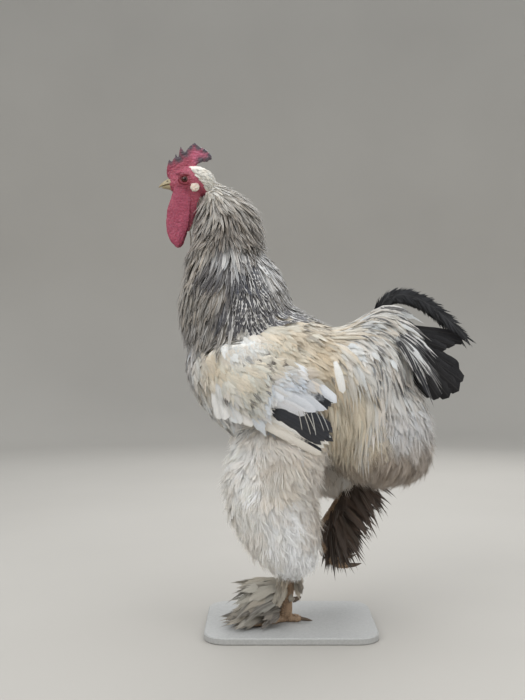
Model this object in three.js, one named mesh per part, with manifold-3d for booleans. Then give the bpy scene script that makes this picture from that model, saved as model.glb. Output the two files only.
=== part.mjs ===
// A brahma cock, life size, in mid stride: it stands on its left leg and draws its right foot up behind.
// Lengths are in millimetres, +Z is up, the bird faces -X and its left side is -Y.
// Each part of the body is a core, a smooth skin through a few cross sections, and the plumage that
// shapes the bird is laid over the cores as thin, overlapping vanes with their roots sunk in.
import * as THREE from "three";
import { mergeVertices } from "three/addons/utils/BufferGeometryUtils.js";
import Module from "manifold-3d";

// Driving dimensions of the bird, with heights measured from the soles.
const GAP = 0.35; // between pieces that touch
const EYE_RADIUS = 6.5;
const EYE = { x: -156, y: 13.6, z: 655 };
const SHANK_RADIUS = 9.5;
const LEFT_FOOT = { x: -9, y: -14, z: 0 };
const LEFT_HOCK = { x: 8, y: -42, z: 119 };
const RIGHT_HOCK = { x: 106, y: 50, z: 207 };
const RIGHT_FOOT = { x: 57, y: 46, z: 114 };
const TAIL_ROOT = { x: 172, z: 434 };
const VANE_THICKNESS = 0.9;
const BASE = { length: 250, width: 190, height: 10, corner: 30, edge: 1.5 };

const LEFT = -1;
const RIGHT = 1;

const wasm = await Module();
wasm.setup();

const vector = (x, y, z) => new THREE.Vector3(x, y, z);
const UP = vector(0, 0, 1);
const ACROSS = vector(0, 1, 0);

// The same draws on every run, between -1 and 1.
function seeded(seed) {
  let state = seed;
  return () => {
    state = (state * 16807) % 2147483647;
    return (state / 2147483647) * 2 - 1;
  };
}

// Solids

function signedVolume(positions, triangles) {
  const [a, b, c] = [vector(), vector(), vector()];
  let sum = 0;
  for (let i = 0; i < triangles.length; i += 3) {
    a.fromArray(positions, 3 * triangles[i]);
    b.fromArray(positions, 3 * triangles[i + 1]);
    c.fromArray(positions, 3 * triangles[i + 2]);
    sum += a.dot(b.cross(c));
  }
  return sum / 6;
}

// A closed geometry as a solid with its faces pointing out.
function solid(geometry) {
  const loose = geometry.index ? geometry.toNonIndexed() : geometry;
  const bare = new THREE.BufferGeometry();
  bare.setAttribute("position", loose.getAttribute("position"));
  const merged = mergeVertices(bare, 1e-3);
  const vertProperties = Float32Array.from(merged.attributes.position.array);
  const triVerts = Uint32Array.from(merged.index.array);
  if (signedVolume(vertProperties, triVerts) < 0) triVerts.reverse();
  return new wasm.Manifold(new wasm.Mesh({ numProp: 3, vertProperties, triVerts }));
}

function geometryOf(shape) {
  const mesh = shape.getMesh();
  const positions = new Float32Array(mesh.numVert * 3);
  for (let i = 0; i < mesh.numVert; i++) {
    const from = i * mesh.numProp;
    positions.set(mesh.vertProperties.subarray(from, from + 3), i * 3);
  }
  const geometry = new THREE.BufferGeometry();
  geometry.setAttribute("position", new THREE.BufferAttribute(positions, 3));
  geometry.setIndex(new THREE.BufferAttribute(mesh.triVerts, 1));
  return geometry;
}

const join = (shapes) => shapes.reduce((whole, shape) => whole.add(shape));

function largest(shape) {
  const bodies = shape.decompose();
  return bodies.sort((a, b) => b.volume() - a.volume())[0];
}

function apart(a, b) {
  const [p, q] = [a.boundingBox(), b.boundingBox()];
  return [0, 1, 2].some((i) => p.max[i] < q.min[i] || q.max[i] < p.min[i]);
}

// Moves every point of a skin out along its normal.
function grown(geometry, distance) {
  if (!distance) return geometry;
  const bigger = geometry.clone();
  const { position, normal } = bigger.attributes;
  for (let i = 0; i < position.count; i++) {
    position.setXYZ(
      i,
      position.getX(i) + distance * normal.getX(i),
      position.getY(i) + distance * normal.getY(i),
      position.getZ(i) + distance * normal.getZ(i),
    );
  }
  return bigger;
}

// A core is a skin through cross sections, listed as [x, y, z, above, below, beside]: the middle
// of the section, and how far it reaches on each side of it. A core that runs downwards has its back
// above and its front below. Sections stand across the line of their middles, or upright.
class Core {
  constructor(sections, rings, sides, upright = false) {
    this.sections = sections;
    this.rings = rings;
    this.sides = sides;
    this.upright = upright;
    this.skin = this.makeSkin();
    this.mesh = new THREE.Mesh(this.skin);
  }

  // Section number t of 0 to 1, smoothly between the listed ones.
  section(t) {
    const last = this.sections.length - 1;
    const place = Math.min(Math.max(t, 0), 1) * last;
    const i = Math.min(Math.floor(place), last - 1);
    const u = place - i;
    const row = (k) => this.sections[Math.min(Math.max(k, 0), last)];
    return row(i).map((b, n) => {
      const [a, c, d] = [row(i - 1)[n], row(i + 1)[n], row(i + 2)[n]];
      const bend = (2 * a - 5 * b + 4 * c - d) * u * u + (3 * b - a - 3 * c + d) * u ** 3;
      return b + 0.5 * ((c - a) * u + bend);
    });
  }

  middle(t) {
    return vector(...this.section(t));
  }

  frame(t) {
    if (this.upright) return { along: vector(1, 0, 0), above: UP.clone(), beside: ACROSS.clone() };
    const step = 0.004;
    const ahead = this.middle(Math.min(t + step, 1));
    const along = ahead.sub(this.middle(Math.max(t - step, 0))).normalize();
    const above = along.clone().cross(ACROSS).normalize();
    return { along, above, beside: above.clone().cross(along).normalize() };
  }

  // The point of the skin at t, at an angle from the right side (0) over the top or back (90 degrees).
  point(t, angle) {
    const [x, y, z, over, under, side] = this.section(t);
    const { above, beside } = this.frame(t);
    const height = Math.sin(angle);
    return vector(x, y, z)
      .addScaledVector(beside, Math.cos(angle) * side)
      .addScaledVector(above, height * (height > 0 ? over : under));
  }

  outward(t, angle) {
    const step = 0.02;
    const round = this.point(t, angle + step).sub(this.point(t, angle - step));
    const along = this.point(Math.min(t + step, 1), angle).sub(this.point(Math.max(t - step, 0), angle));
    const out = along.cross(round).normalize();
    const away = this.point(t, angle).sub(this.middle(t));
    return out.dot(away) < 0 ? out.negate() : out;
  }

  makeSkin() {
    const positions = [];
    const triangles = [];
    positions.push(...this.middle(0).toArray());
    for (let i = 0; i <= this.rings; i++) {
      const t = 0.01 + (0.98 * i) / this.rings;
      for (let j = 0; j < this.sides; j++) {
        positions.push(...this.point(t, (2 * Math.PI * j) / this.sides).toArray());
      }
    }
    positions.push(...this.middle(1).toArray());
    const end = positions.length / 3 - 1;
    for (let j = 0; j < this.sides; j++) {
      const next = (j + 1) % this.sides;
      triangles.push(0, 1 + next, 1 + j);
      for (let i = 0; i < this.rings; i++) {
        const [a, b] = [1 + i * this.sides, 1 + (i + 1) * this.sides];
        triangles.push(a + j, a + next, b + next, a + j, b + next, b + j);
      }
      const ring = 1 + this.rings * this.sides;
      triangles.push(end, ring + j, ring + next);
    }
    if (signedVolume(positions, triangles) < 0) triangles.reverse();
    const skin = new THREE.BufferGeometry();
    skin.setAttribute("position", new THREE.Float32BufferAttribute(positions, 3));
    skin.setIndex(triangles);
    skin.computeVertexNormals();
    return skin;
  }

  solid(grow = 0) {
    return solid(grown(this.skin, grow));
  }

  // This core on the bird's other side.
  mirrored() {
    const sections = this.sections.map(([x, y, ...rest]) => [x, -y, ...rest]);
    return new Core(sections, this.rings, this.sides, this.upright);
  }
}

// One vane along a path: flat or, with a fold, raised along its shaft. faces holds the way that it faces at each
// point, and outline its shape: one whose last width is 0 gives the vane a pointed tip.
function vane({ path, faces, width, outline, fold = 0, thickness = VANE_THICKNESS }, grow = 0) {
  const last = path.length - 1;
  const pointed = outline[last][1] === 0;
  const rings = pointed ? last : last + 1;
  const positions = [];
  const triangles = [];
  const round = fold ? 6 : 4;
  const direction = (i) =>
    path[Math.min(i + 1, last)].clone().sub(path[Math.max(i - 1, 0)]).normalize();
  for (let i = 0; i < rings; i++) {
    const along = direction(i);
    const side = along.clone().cross(faces[i]).normalize();
    const face = side.clone().cross(along).normalize();
    const half = (width / 2) * outline[i][1] + grow;
    const deep = thickness / 2 + grow;
    const sag = -fold * half;
    const corners = fold
      ? [[-half, sag + deep], [0, deep], [half, sag + deep], [half, sag - deep], [0, -deep], [-half, sag - deep]]
      : [[-half, deep], [half, deep], [half, -deep], [-half, -deep]];
    const stretch = i === 0 ? -grow : !pointed && i === last ? grow : 0;
    const centre = path[i].clone().addScaledVector(along, stretch);
    for (const [out, high] of corners) {
      positions.push(...centre.clone().addScaledVector(side, out).addScaledVector(face, high).toArray());
    }
  }
  if (pointed) positions.push(...path[last].clone().addScaledVector(direction(last), 2 * grow).toArray());
  for (let i = 0; i < last; i++) {
    for (let j = 0; j < round; j++) {
      const next = (j + 1) % round;
      const [a, b] = [i * round, (i + 1) * round];
      if (pointed && i === last - 1) triangles.push(a + j, b, a + next);
      else if (j < round / 2 - 1 || j === round - 1) triangles.push(a + j, b + j, b + next, a + j, b + next, a + next);
      else triangles.push(a + j, b + j, a + next, b + j, b + next, a + next);
    }
  }
  const end = pointed ? 0 : last * round;
  for (let j = 1; j < round - 1; j++) {
    triangles.push(0, j, j + 1);
    if (!pointed) triangles.push(end, end + j + 1, end + j);
  }
  const skin = new THREE.BufferGeometry();
  skin.setAttribute("position", new THREE.Float32BufferAttribute(positions, 3));
  skin.setIndex(triangles);
  return solid(skin);
}

// Shapes of vanes: [share of the length, share of the width] from root to tip
const LANCET = [[0, 0.25], [0.3, 1], [0.75, 0.78], [1, 0]];
const SPEAR = [[0, 0.25], [0.26, 0.95], [0.72, 0.85], [1, 0]];
const ROUNDED = [[0, 0.25], [0.26, 0.95], [0.82, 0.9], [1, 0]];
const STRAP = [[0, 0.6], [0.4, 1], [0.85, 0.88], [1, 0]];
const SINK = 4; // how far a root goes into its core
const REACH = 40; // how far off the skin a feather looks for it

const caster = new THREE.Raycaster();

// Lays a feather over the skins: it starts on them at `start`, keeps to its heading, is drawn down by
// `fall`, and from its sunk root it rises to `base` above the skin and on by `lift` to its tip. `roll`
// tips it about its shaft, so that it lies under its neighbour as a roof tile does.
function lay(skins, start, outward, heading, { length, lift, base = 3, fall = 0, roll = 0, outline }) {
  const path = [];
  const faces = [];
  const way = heading.clone().normalize();
  let place = start.clone();
  let face = outward.clone();
  for (let i = 0; i < outline.length; i++) {
    const share = outline[i][0];
    const step = i ? length * (share - outline[i - 1][0]) : REACH;
    if (i) place = place.clone().addScaledVector(way, step);
    caster.set(place.clone().addScaledVector(face, REACH), face.clone().negate());
    const hit = caster.intersectObjects(skins, false).find(({ point }) => point.distanceTo(place) < 0.8 * step);
    if (hit) {
      place = hit.point.clone();
      face = face.clone().lerp(hit.normal, 0.7).normalize();
    }
    path.push(place.clone().addScaledVector(face, i ? base + lift * share : -SINK));
    faces.push(face.clone().applyAxisAngle(way, roll));
    way.addScaledVector(UP, -fall).addScaledVector(face, -way.dot(face)).normalize();
  }
  return { path, faces };
}

// A vane that stands free: it leaves `start` along `heading`, bends by `bend` over its length and faces `face`.
function sweep(start, heading, face, { length, bend, outline }) {
  const path = [];
  const faces = [];
  for (const [share] of outline) {
    path.push(
      start
        .clone()
        .addScaledVector(heading, length * share)
        .addScaledVector(bend, length * share * share),
    );
    faces.push(face);
  }
  return { path, faces };
}

function ellipsoid([x, y, z], [a, b, c], grow = 0, detail = 10) {
  const ball = new THREE.SphereGeometry(1, detail, Math.round(detail / 2));
  ball.scale(a + grow, b + grow, c + grow);
  return solid(ball.translate(x, y, z));
}

const nodes = [];
function node(name, colour, roughness, pieces) {
  nodes.push({ name, colour, roughness, pieces });
}

const COLOURS = {
  comb: 0xa8324a,
  skin: 0xb03a48,
  lobe: 0xd8cfc0,
  horn: 0xc9b57a,
  eye: 0x2a120c,
  neck: 0xa39b8c,
  body: 0xd6cfc0,
  wing: 0xdcdad6,
  tail: 0x1f2022,
  fluff: 0x9c9284,
  thigh: 0xc9c4ba,
  leg: 0xa98554,
  foot: 0x8c8274,
  claw: 0x4b3b2c,
  base: 0x8b8d8b,
};

const bothSides = (make) => {
  make(LEFT, "left");
  make(RIGHT, "right");
};

// Head: skull, cheeks, brows and lids, with the bare skin of the throat

const skull = new Core(
  [
    [-181, 0, 652, 5, 6, 5],
    [-177, 0, 652, 10, 12, 9.5],
    [-168, 0, 653, 17, 16, 14],
    [-156, 0, 655, 21, 20, 17.5],
    [-143, 0, 656, 22, 21, 20],
    [-130, 0, 655, 20, 21, 20],
    [-119, 0, 651, 15, 17, 16],
    [-112, 0, 648, 5, 6, 6],
  ],
  11,
  14,
);
const throat = new Core(
  [
    [-150, 0, 640, 12, 14, 11],
    [-148, 0, 622, 9, 10, 7],
    [-149, 0, 603, 7, 7, 5],
    [-151, 0, 586, 4, 4, 3],
    [-152, 0, 580, 1, 1, 1],
  ],
  4,
  8,
);

function lid(side, grow) {
  const ring = new THREE.TorusGeometry(EYE_RADIUS + 0.6, 1.9 + grow, 4, 12);
  ring.scale(1.16, 0.94, 1).rotateX(Math.PI / 2);
  return solid(ring.translate(EYE.x, side * (EYE.y + 4.2), EYE.z));
}

bothSides((side, word) => {
  node(`eye_${word}`, COLOURS.eye, 0.15, (grow) => [
    ellipsoid([EYE.x, side * EYE.y, EYE.z], [EYE_RADIUS, EYE_RADIUS, EYE_RADIUS], grow, 10),
  ]);
});
node("head", COLOURS.skin, 0.7, (grow) => {
  const pieces = [skull.solid(grow), throat.solid(grow)];
  bothSides((side) => {
    pieces.push(lid(side, grow));
    pieces.push(ellipsoid([-157, side * 11, 664.5], [14, 6.5, 4.2], grow, 8));
  });
  return pieces;
});

// Beak: two stout, hooked halves that meet along the line of the mouth, with a nostril on each side

const upperBeak = new Core(
  [
    [-197, 0, 645.4, 0.8, 0.5, 0.8],
    [-194.5, 0, 647, 2.8, 0.8, 2.7],
    [-190, 0, 648.6, 5.4, 0.8, 4.8],
    [-184, 0, 649.8, 8, 0.8, 6.8],
    [-176, 0, 650.6, 10.2, 0.8, 8.4],
    [-169, 0, 650.8, 10, 0.8, 8.4],
  ],
  7,
  12,
);
const lowerBeak = new Core(
  [
    [-192.5, 0, 645.4, 0.4, 0.8, 0.8],
    [-189.5, 0, 646.6, 0.6, 2.6, 3],
    [-184, 0, 648, 0.6, 5, 5.3],
    [-176, 0, 648.9, 0.6, 8, 7.2],
    [-169, 0, 649, 0.6, 9, 7.4],
  ],
  5,
  10,
);
node("beak_upper", COLOURS.horn, 0.45, (grow) => {
  const pits = [LEFT, RIGHT].map((side) => ellipsoid([-183.4, side * 6.4, 654], [2.6, 1.5, 1.3], 0, 6));
  return [upperBeak.solid(grow).subtract(join(pits))];
});
node("beak_lower", COLOURS.horn, 0.45, (grow) => [lowerBeak.solid(grow)]);

// Comb: one upright blade with small points in front and a broad lobe behind, thicker towards its root

const COMB_OUTLINE = [
  [-180, 655], [-184, 664], [-184.6, 673], [-181, 687], [-176.5, 683.5], [-171, 695], [-167.5, 689],
  [-164.2, 707], [-157.5, 697.5], [-150.5, 707], [-143, 712.5], [-136.5, 707], [-125.5, 702], [-118, 694],
  [-118, 688.5], [-124, 685], [-133, 684.5], [-140.5, 680], [-147, 672],
];
const COMB_ROOT = 5.2; // half of the thickness at the root and near the points
const COMB_EDGE = 2.4;
node("comb", COLOURS.comb, 0.6, (grow) => {
  const outline = new THREE.Shape(COMB_OUTLINE.map(([x, z]) => new THREE.Vector2(x, z)));
  const bevel = { bevelThickness: 0.35, bevelSize: 1 + grow, bevelOffset: -1, bevelSegments: 1 };
  const blade = new THREE.ExtrudeGeometry(outline, { depth: 1.3, curveSegments: 1, ...bevel });
  blade.translate(0, 0, -0.65).rotateX(Math.PI / 2);
  const points = blade.getAttribute("position");
  for (let i = 0; i < points.count; i++) {
    const height = THREE.MathUtils.clamp((points.getZ(i) - 660) / 45, 0, 1);
    points.setY(i, points.getY(i) * (THREE.MathUtils.lerp(COMB_ROOT, COMB_EDGE, height) + grow));
  }
  return [solid(blade)];
});

// Wattles and ear lobes

const wattle = new Core(
  [
    [-163, -8.5, 645, 10, 10, 4],
    [-163.5, -9, 626, 14.5, 15, 3.2],
    [-166.5, -8.5, 606, 17, 17.5, 2.9],
    [-168.5, -8, 588, 16.5, 17, 3.1],
    [-169, -8, 573, 12.5, 13.5, 3.3],
    [-168, -8.3, 561, 7, 7, 2.8],
    [-167.5, -8.5, 556, 1.5, 1.5, 1.2],
  ],
  8,
  10,
);
const wattles = { [LEFT]: wattle, [RIGHT]: wattle.mirrored() };
bothSides((side, word) => {
  node(`wattle_${word}`, COLOURS.comb, 0.65, (grow) => [wattles[side].solid(grow)]);
  node(`ear_lobe_${word}`, COLOURS.lobe, 0.6, (grow) => [
    ellipsoid([-142.5, side * 19.5, 643], [8.2, 3.4, 7.2], grow, 10),
  ]);
});

// Trunk, fluff below the tail, neck, thighs and wings: the cores over which the plumage lies

const trunk = new Core(
  [
    [-157, 0, 380, 10, 12, 12],
    [-150, 0, 377, 34, 32, 38],
    [-125, 0, 366, 64, 58, 65],
    [-85, 0, 356, 88, 84, 86],
    [-35, 0, 350, 107, 104, 97],
    [15, 0, 344, 116, 110, 98],
    [65, 0, 338, 98, 104, 92],
    [104, 0, 348, 102, 102, 80],
    [135, 0, 364, 101, 90, 64],
    [165, 0, 380, 77, 64, 42],
    [184, 0, 394, 34, 28, 18],
  ],
  13,
  20,
  true,
);
const cushion = new Core(
  [
    [58, 0, 258, 22, 22, 30],
    [80, 0, 256, 42, 38, 56],
    [115, 0, 258, 62, 54, 72],
    [152, 0, 268, 76, 68, 74],
    [182, 0, 276, 74, 70, 62],
    [202, 0, 274, 54, 56, 40],
    [210, 0, 272, 18, 18, 13],
  ],
  8,
  15,
  true,
);
const neck = new Core(
  [
    [-127, 0, 652, 6, 6, 6],
    [-118, 0, 636, 26, 18, 23],
    [-106, 0, 606, 48, 33, 34],
    [-99, 0, 575, 54, 46, 42],
    [-95, 0, 543, 53, 58, 49],
    [-88, 0, 508, 72, 73, 60],
    [-82, 0, 470, 82, 82, 72],
    [-78, 0, 430, 82, 79, 77],
    [-74, 0, 390, 60, 70, 66],
    [-70, 0, 358, 16, 16, 16],
  ],
  12,
  16,
);
const leftThigh = new Core(
  [
    [-10, -46, 312, 30, 30, 26],
    [-16, -54, 270, 62, 60, 42],
    [-26, -60, 226, 68, 66, 47],
    [-29, -60, 190, 66, 65, 45],
    [-21, -58, 158, 60, 58, 40],
    [-6, -55, 128, 54, 52, 35],
    [10, -52, 102, 38, 38, 28],
    [24, -50, 84, 14, 14, 13],
  ],
  11,
  16,
);
const rightThigh = new Core(
  [
    [-70, 44, 300, 26, 26, 24],
    [-44, 54, 272, 52, 50, 42],
    [-4, 60, 248, 58, 56, 47],
    [34, 60, 229, 50, 52, 43],
    [68, 57, 213, 38, 40, 34],
    [96, 53, 201, 24, 26, 24],
    [110, 50, 195, 8, 8, 8],
  ],
  10,
  15,
);
const wing = new Core(
  [
    [-127, -62, 372, 8, 8, 6],
    [-112, -80, 374, 34, 30, 14],
    [-75, -91, 372, 46, 44, 17],
    [-30, -96, 362, 50, 46, 14],
    [12, -95, 347, 46, 42, 10],
    [42, -91, 330, 34, 32, 8],
    [62, -88, 318, 12, 12, 5],
  ],
  8,
  12,
);
const wings = { [LEFT]: wing, [RIGHT]: wing.mirrored() };
const thighs = { [LEFT]: leftThigh, [RIGHT]: rightThigh };

const meshes = (...cores) => cores.map((core) => core.mesh);
meshes(trunk, cushion, neck, leftThigh, rightThigh, wings[LEFT], wings[RIGHT]).forEach((mesh) => {
  mesh.updateMatrixWorld();
});

const degrees = THREE.MathUtils.degToRad;

// Sets rows of vanes on a core. Each row gives its number of vanes, the range of places along the core (t) and of
// angles round it in degrees over which they spread, how their heading leans, and the sizes of each.
function plumage(core, skins, rows, random) {
  const vanes = [];
  rows.forEach((row, index) => {
    for (let k = 0; k < row.count; k++) {
      const share = (k + (index % 2 ? 0.5 : 0)) / row.count;
      const angle = degrees(THREE.MathUtils.lerp(...row.angle, share) + 2 * random());
      const t = THREE.MathUtils.lerp(...row.t, share) + 0.01 * random();
      const heading = core.point(t + 0.03, angle).sub(core.point(t, angle)).normalize();
      if (row.lean) heading.addScaledVector(UP, -row.lean).normalize();
      const back = Math.max(0, Math.sin(angle)) * (row.shorter ?? 0);
      const laid = lay(skins, core.point(t, angle), core.outward(t, angle), heading, {
        ...row,
        length: row.length * (1 - back) * (1 + 0.1 * random()),
        lift: row.lift + 1.2 * (k % 2),
      });
      vanes.push({ ...laid, width: row.width * (1 + 0.08 * random()), outline: row.outline });
    }
  });
  return vanes;
}

const vaneSolids = (vanes, grow) => vanes.map((one) => vane(one, grow));

// Trunk with the long, drooping feathers of the saddle

const SADDLE = [
  { t: [0.48, 0.9], count: 4, angle: [196, 186], lean: 1.4, length: 100, width: 31, lift: 6, outline: LANCET },
  { t: [0.5, 0.92], count: 4, angle: [168, 158], lean: 1.3, length: 98, width: 29, lift: 7, fall: 0.05, outline: LANCET },
  { t: [0.5, 0.88], count: 3, angle: [138, 124], lean: 0.9, length: 92, width: 27, lift: 7, fall: 0.1, outline: LANCET },
  { t: [0.78, 0.86], count: 1, angle: [103, 99], lean: 0.3, length: 74, width: 26, lift: 4, fall: 0.06, outline: LANCET },
];
const acrossBack = (row) => ({ ...row, angle: row.angle.map((angle) => 180 - angle) });
const saddleVanes = plumage(
  trunk,
  meshes(trunk, cushion, wings[LEFT], wings[RIGHT]),
  [...SADDLE, ...SADDLE.map(acrossBack)],
  seeded(11),
);
node("trunk", COLOURS.body, 0.8, (grow) => [trunk.solid(grow), ...vaneSolids(saddleVanes, grow)]);

// Neck with its hackle

const hackleVanes = plumage(
  neck,
  meshes(neck, trunk, wings[LEFT], wings[RIGHT]),
  [
    { t: [0.6, 0.6], count: 10, angle: [-180, 180], length: 86, shorter: 0.3, width: 31, lift: 5, fall: 0.1, outline: SPEAR },
    { t: [0.48, 0.48], count: 9, angle: [-180, 180], length: 84, shorter: 0.1, width: 30, lift: 5, fall: 0.06, outline: SPEAR },
    { t: [0.36, 0.36], count: 8, angle: [-180, 180], length: 74, width: 26, lift: 5, fall: 0.02, outline: SPEAR },
    { t: [0.25, 0.25], count: 6, angle: [-180, 180], length: 60, width: 21, lift: 3, fall: 0, outline: SPEAR },
    { t: [0.14, 0.14], count: 4, angle: [-50, 230], length: 44, width: 18, lift: 1.5, fall: 0.04, outline: SPEAR },
  ],
  seeded(23),
);
node("neck", COLOURS.neck, 0.8, (grow) => [neck.solid(grow), ...vaneSolids(hackleVanes, grow)]);

// Wings, folded, with their flight feathers and coverts in tiers, the lowest tier nearest the body

// Each tier runs from its lowest feather to its highest: [x, z] of their roots and of their tips.
const WING_TIERS = [
  // Primaries, of which only the ends show below the rest
  { count: 3, roots: [[-30, 328], [-40, 346]], tips: [[56, 259], [34, 285]], width: 20, height: -3, roll: 0.25 },
  // Secondaries, greater coverts, median coverts and the lesser ones of the shoulder
  { count: 5, roots: [[-58, 332], [4, 366]], tips: [[38, 272], [68, 350]], width: 26, height: 2.4 },
  { count: 4, roots: [[-74, 342], [-18, 386]], tips: [[-6, 296], [46, 366]], width: 29, height: 7.4 },
  { count: 3, roots: [[-102, 354], [-44, 396]], tips: [[-50, 312], [12, 378]], width: 35, height: 12.4 },
  { count: 2, roots: [[-112, 366], [-90, 394]], tips: [[-76, 336], [-44, 390]], width: 34, height: 16.4 },
];
const WING_ROLL = 0.11; // each vane lies tipped under the one above it, as a roof tile does
const WING_BULGE = { x: -20, z: 352, out: 112, ahead: 0.0018, behind: 0.0009, over: 0.0022 };

// The smooth face of the folded wing at [x, z]: its place and the way it faces.
function wingFace(x, z, side, height) {
  const [dx, dz] = [x - WING_BULGE.x, z - WING_BULGE.z];
  const bend = dx < 0 ? WING_BULGE.ahead : WING_BULGE.behind;
  const y = WING_BULGE.out - bend * dx * dx - WING_BULGE.over * dz * dz;
  const face = vector(2 * bend * dx, side, 2 * WING_BULGE.over * dz).normalize();
  return { place: vector(x, side * (y + height), z), face };
}

// A root at [x, z], sunk into the outer face of the wing's core.
function wingRoot(x, z, side) {
  caster.set(vector(x, side * 200, z), vector(0, -side, 0));
  const [hit] = caster.intersectObject(wings[side].mesh);
  return vector(x, hit.point.y - side * SINK, z);
}
function wingVanes(side) {
  const random = seeded(37);
  return WING_TIERS.flatMap(({ count, roots, tips, width, height, roll = WING_ROLL }) =>
    Array.from({ length: count }, (_, k) => {
      const between = ([a, b]) => a.map((from, i) => THREE.MathUtils.lerp(from, b[i], k / (count - 1)));
      const [root, tip] = [between(roots), between(tips)];
      const reach = 1 + 0.04 * random();
      const points = ROUNDED.map(([s]) => {
        const [x, z] = root.map((from, i) => THREE.MathUtils.lerp(from, tip[i], s * reach));
        return wingFace(x, z, side, height);
      });
      points[0].place = wingRoot(...root, side);
      const shaft = points.at(-1).place.clone().sub(points[1].place).normalize();
      const faces = points.map(({ face }) => face.applyAxisAngle(shaft, side * roll));
      return { path: points.map(({ place }) => place), faces, width, outline: ROUNDED };
    }),
  );
}
bothSides((side, word) => {
  const vanes = wingVanes(side);
  node(`wing_${word}`, COLOURS.wing, 0.8, (grow) => [wings[side].solid(grow), ...vaneSolids(vanes, grow)]);
});

// Thighs and the cushion below the tail, with the loose plumage that gives them their outline

const thighRows = {
  [LEFT]: [
    { t: [0.84, 0.84], count: 3, angle: [60, 330], length: 34, width: 36, lift: 3, fall: 0.05, outline: ROUNDED },
    { t: [0.68, 0.68], count: 4, angle: [40, 330], length: 44, width: 42, lift: 4, fall: 0.05, outline: ROUNDED },
    { t: [0.52, 0.52], count: 5, angle: [50, 320], length: 48, width: 41, lift: 4, fall: 0.05, outline: ROUNDED },
    { t: [0.36, 0.36], count: 5, angle: [70, 310], length: 52, width: 43, lift: 4, fall: 0.05, outline: ROUNDED },
    { t: [0.2, 0.2], count: 3, angle: [110, 290], length: 54, width: 43, lift: 4, fall: 0.05, outline: ROUNDED },
  ],
  [RIGHT]: [
    { t: [0.8, 0.8], count: 3, angle: [-90, 180], length: 32, width: 30, lift: 3, fall: 0.05, outline: ROUNDED },
    { t: [0.6, 0.6], count: 4, angle: [-110, 110], length: 44, width: 34, lift: 4, fall: 0.1, outline: ROUNDED },
    { t: [0.4, 0.4], count: 3, angle: [-90, 60], length: 48, width: 36, lift: 4, fall: 0.1, outline: ROUNDED },
  ],
};
bothSides((side, word) => {
  const vanes = plumage(thighs[side], meshes(thighs[side]), thighRows[side], seeded(41 + side));
  node(`thigh_${word}`, COLOURS.thigh, 0.85, (grow) => [thighs[side].solid(grow), ...vaneSolids(vanes, grow)]);
});

const cushionVanes = plumage(
  cushion,
  meshes(cushion),
  [
    { t: [0.8, 0.8], count: 4, angle: [-160, 20], length: 36, width: 34, lift: 3, fall: 0.1, outline: ROUNDED },
    { t: [0.62, 0.62], count: 4, angle: [-170, -10], length: 46, width: 40, lift: 4, fall: 0.08, outline: ROUNDED },
    { t: [0.42, 0.42], count: 3, angle: [-150, -30], length: 50, width: 42, lift: 5, fall: 0, outline: ROUNDED },
  ],
  seeded(53),
);
node("fluff", COLOURS.fluff, 0.9, (grow) => [cushion.solid(grow), ...vaneSolids(cushionVanes, grow)]);

// Tail: two folded fans of stiff feathers side by side, on a stub behind the trunk

const rump = new Core(
  [
    [164, 0, 430, 10, 24, 12],
    [178, 0, 424, 16, 38, 18],
    [192, 0, 413, 12, 34, 15],
    [203, 0, 404, 4, 9, 5],
  ],
  5,
  11,
);
// The rise in degrees and the length of each pair of feathers, from the highest to the lowest.
const TAIL_FAN = [[-8, 90], [-15, 84], [-28, 76], [-42, 106], [-55, 100]];
const TAIL = { width: 35, apart: 3, lower: 8 };
function tailVanes() {
  const vanes = [];
  bothSides((side) => {
    TAIL_FAN.forEach(([rise, length], k) => {
      const angle = degrees(rise);
      const heading = vector(Math.cos(angle), 0.06 * side, Math.sin(angle));
      const start = vector(TAIL_ROOT.x, side * (3 + TAIL.apart * k), TAIL_ROOT.z - TAIL.lower * k);
      const form = { length, bend: vector(-0.02, 0.02 * side, -0.03), outline: STRAP };
      vanes.push({ ...sweep(start, heading, vector(0, side, 0), form), ...form, width: TAIL.width });
    });
  });
  return vanes;
}
const tail = tailVanes();
node("tail", COLOURS.tail, 0.5, (grow) => [rump.solid(grow), ...vaneSolids(tail, grow)]);

// Sickles: the pair of long feathers that arch over the tail, each in two lengths

const SICKLE = { chord: 138, rise: 38, width: 23, start: { x: 130, z: 452 }, drop: 40 };
function sicklePoint(share, side) {
  const along = Math.max(share, 0);
  const arch = Math.sin(Math.PI * Math.min(1, 0.12 + 0.88 * along ** 0.8));
  return vector(
    SICKLE.start.x + SICKLE.chord * share,
    side * (6 + 15 * share),
    SICKLE.start.z + SICKLE.rise * arch - SICKLE.drop * along ** 1.6,
  );
}
// The two lengths meet at 0.6 of the way, with a point close to it on each side so that their ends are parallel.
const SICKLE_BASE = [[-0.06, 0.3], [0.06, 0.55], [0.18, 0.8], [0.31, 0.97], [0.45, 1], [0.59, 0.98], [0.6, 0.98]];
const SICKLE_TIP = [[0.605, 0.98], [0.615, 0.98], [0.71, 0.93], [0.81, 0.78], [0.91, 0.52], [1, 0]];
bothSides((side, word) => {
  const length = (outline) => {
    const path = outline.map(([share]) => sicklePoint(share, side));
    return { path, faces: path.map(() => vector(0, side, 0.15)), width: SICKLE.width, outline, fold: 0.12 };
  };
  node(`sickle_base_${word}`, COLOURS.tail, 0.5, (grow) => vaneSolids([length(SICKLE_BASE)], grow));
  node(`sickle_tip_${word}`, COLOURS.tail, 0.5, (grow) => vaneSolids([length(SICKLE_TIP)], grow));
});

// Legs: scaly shank, four toes and their claws, with the stiff feathers of a feather-footed breed

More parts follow.
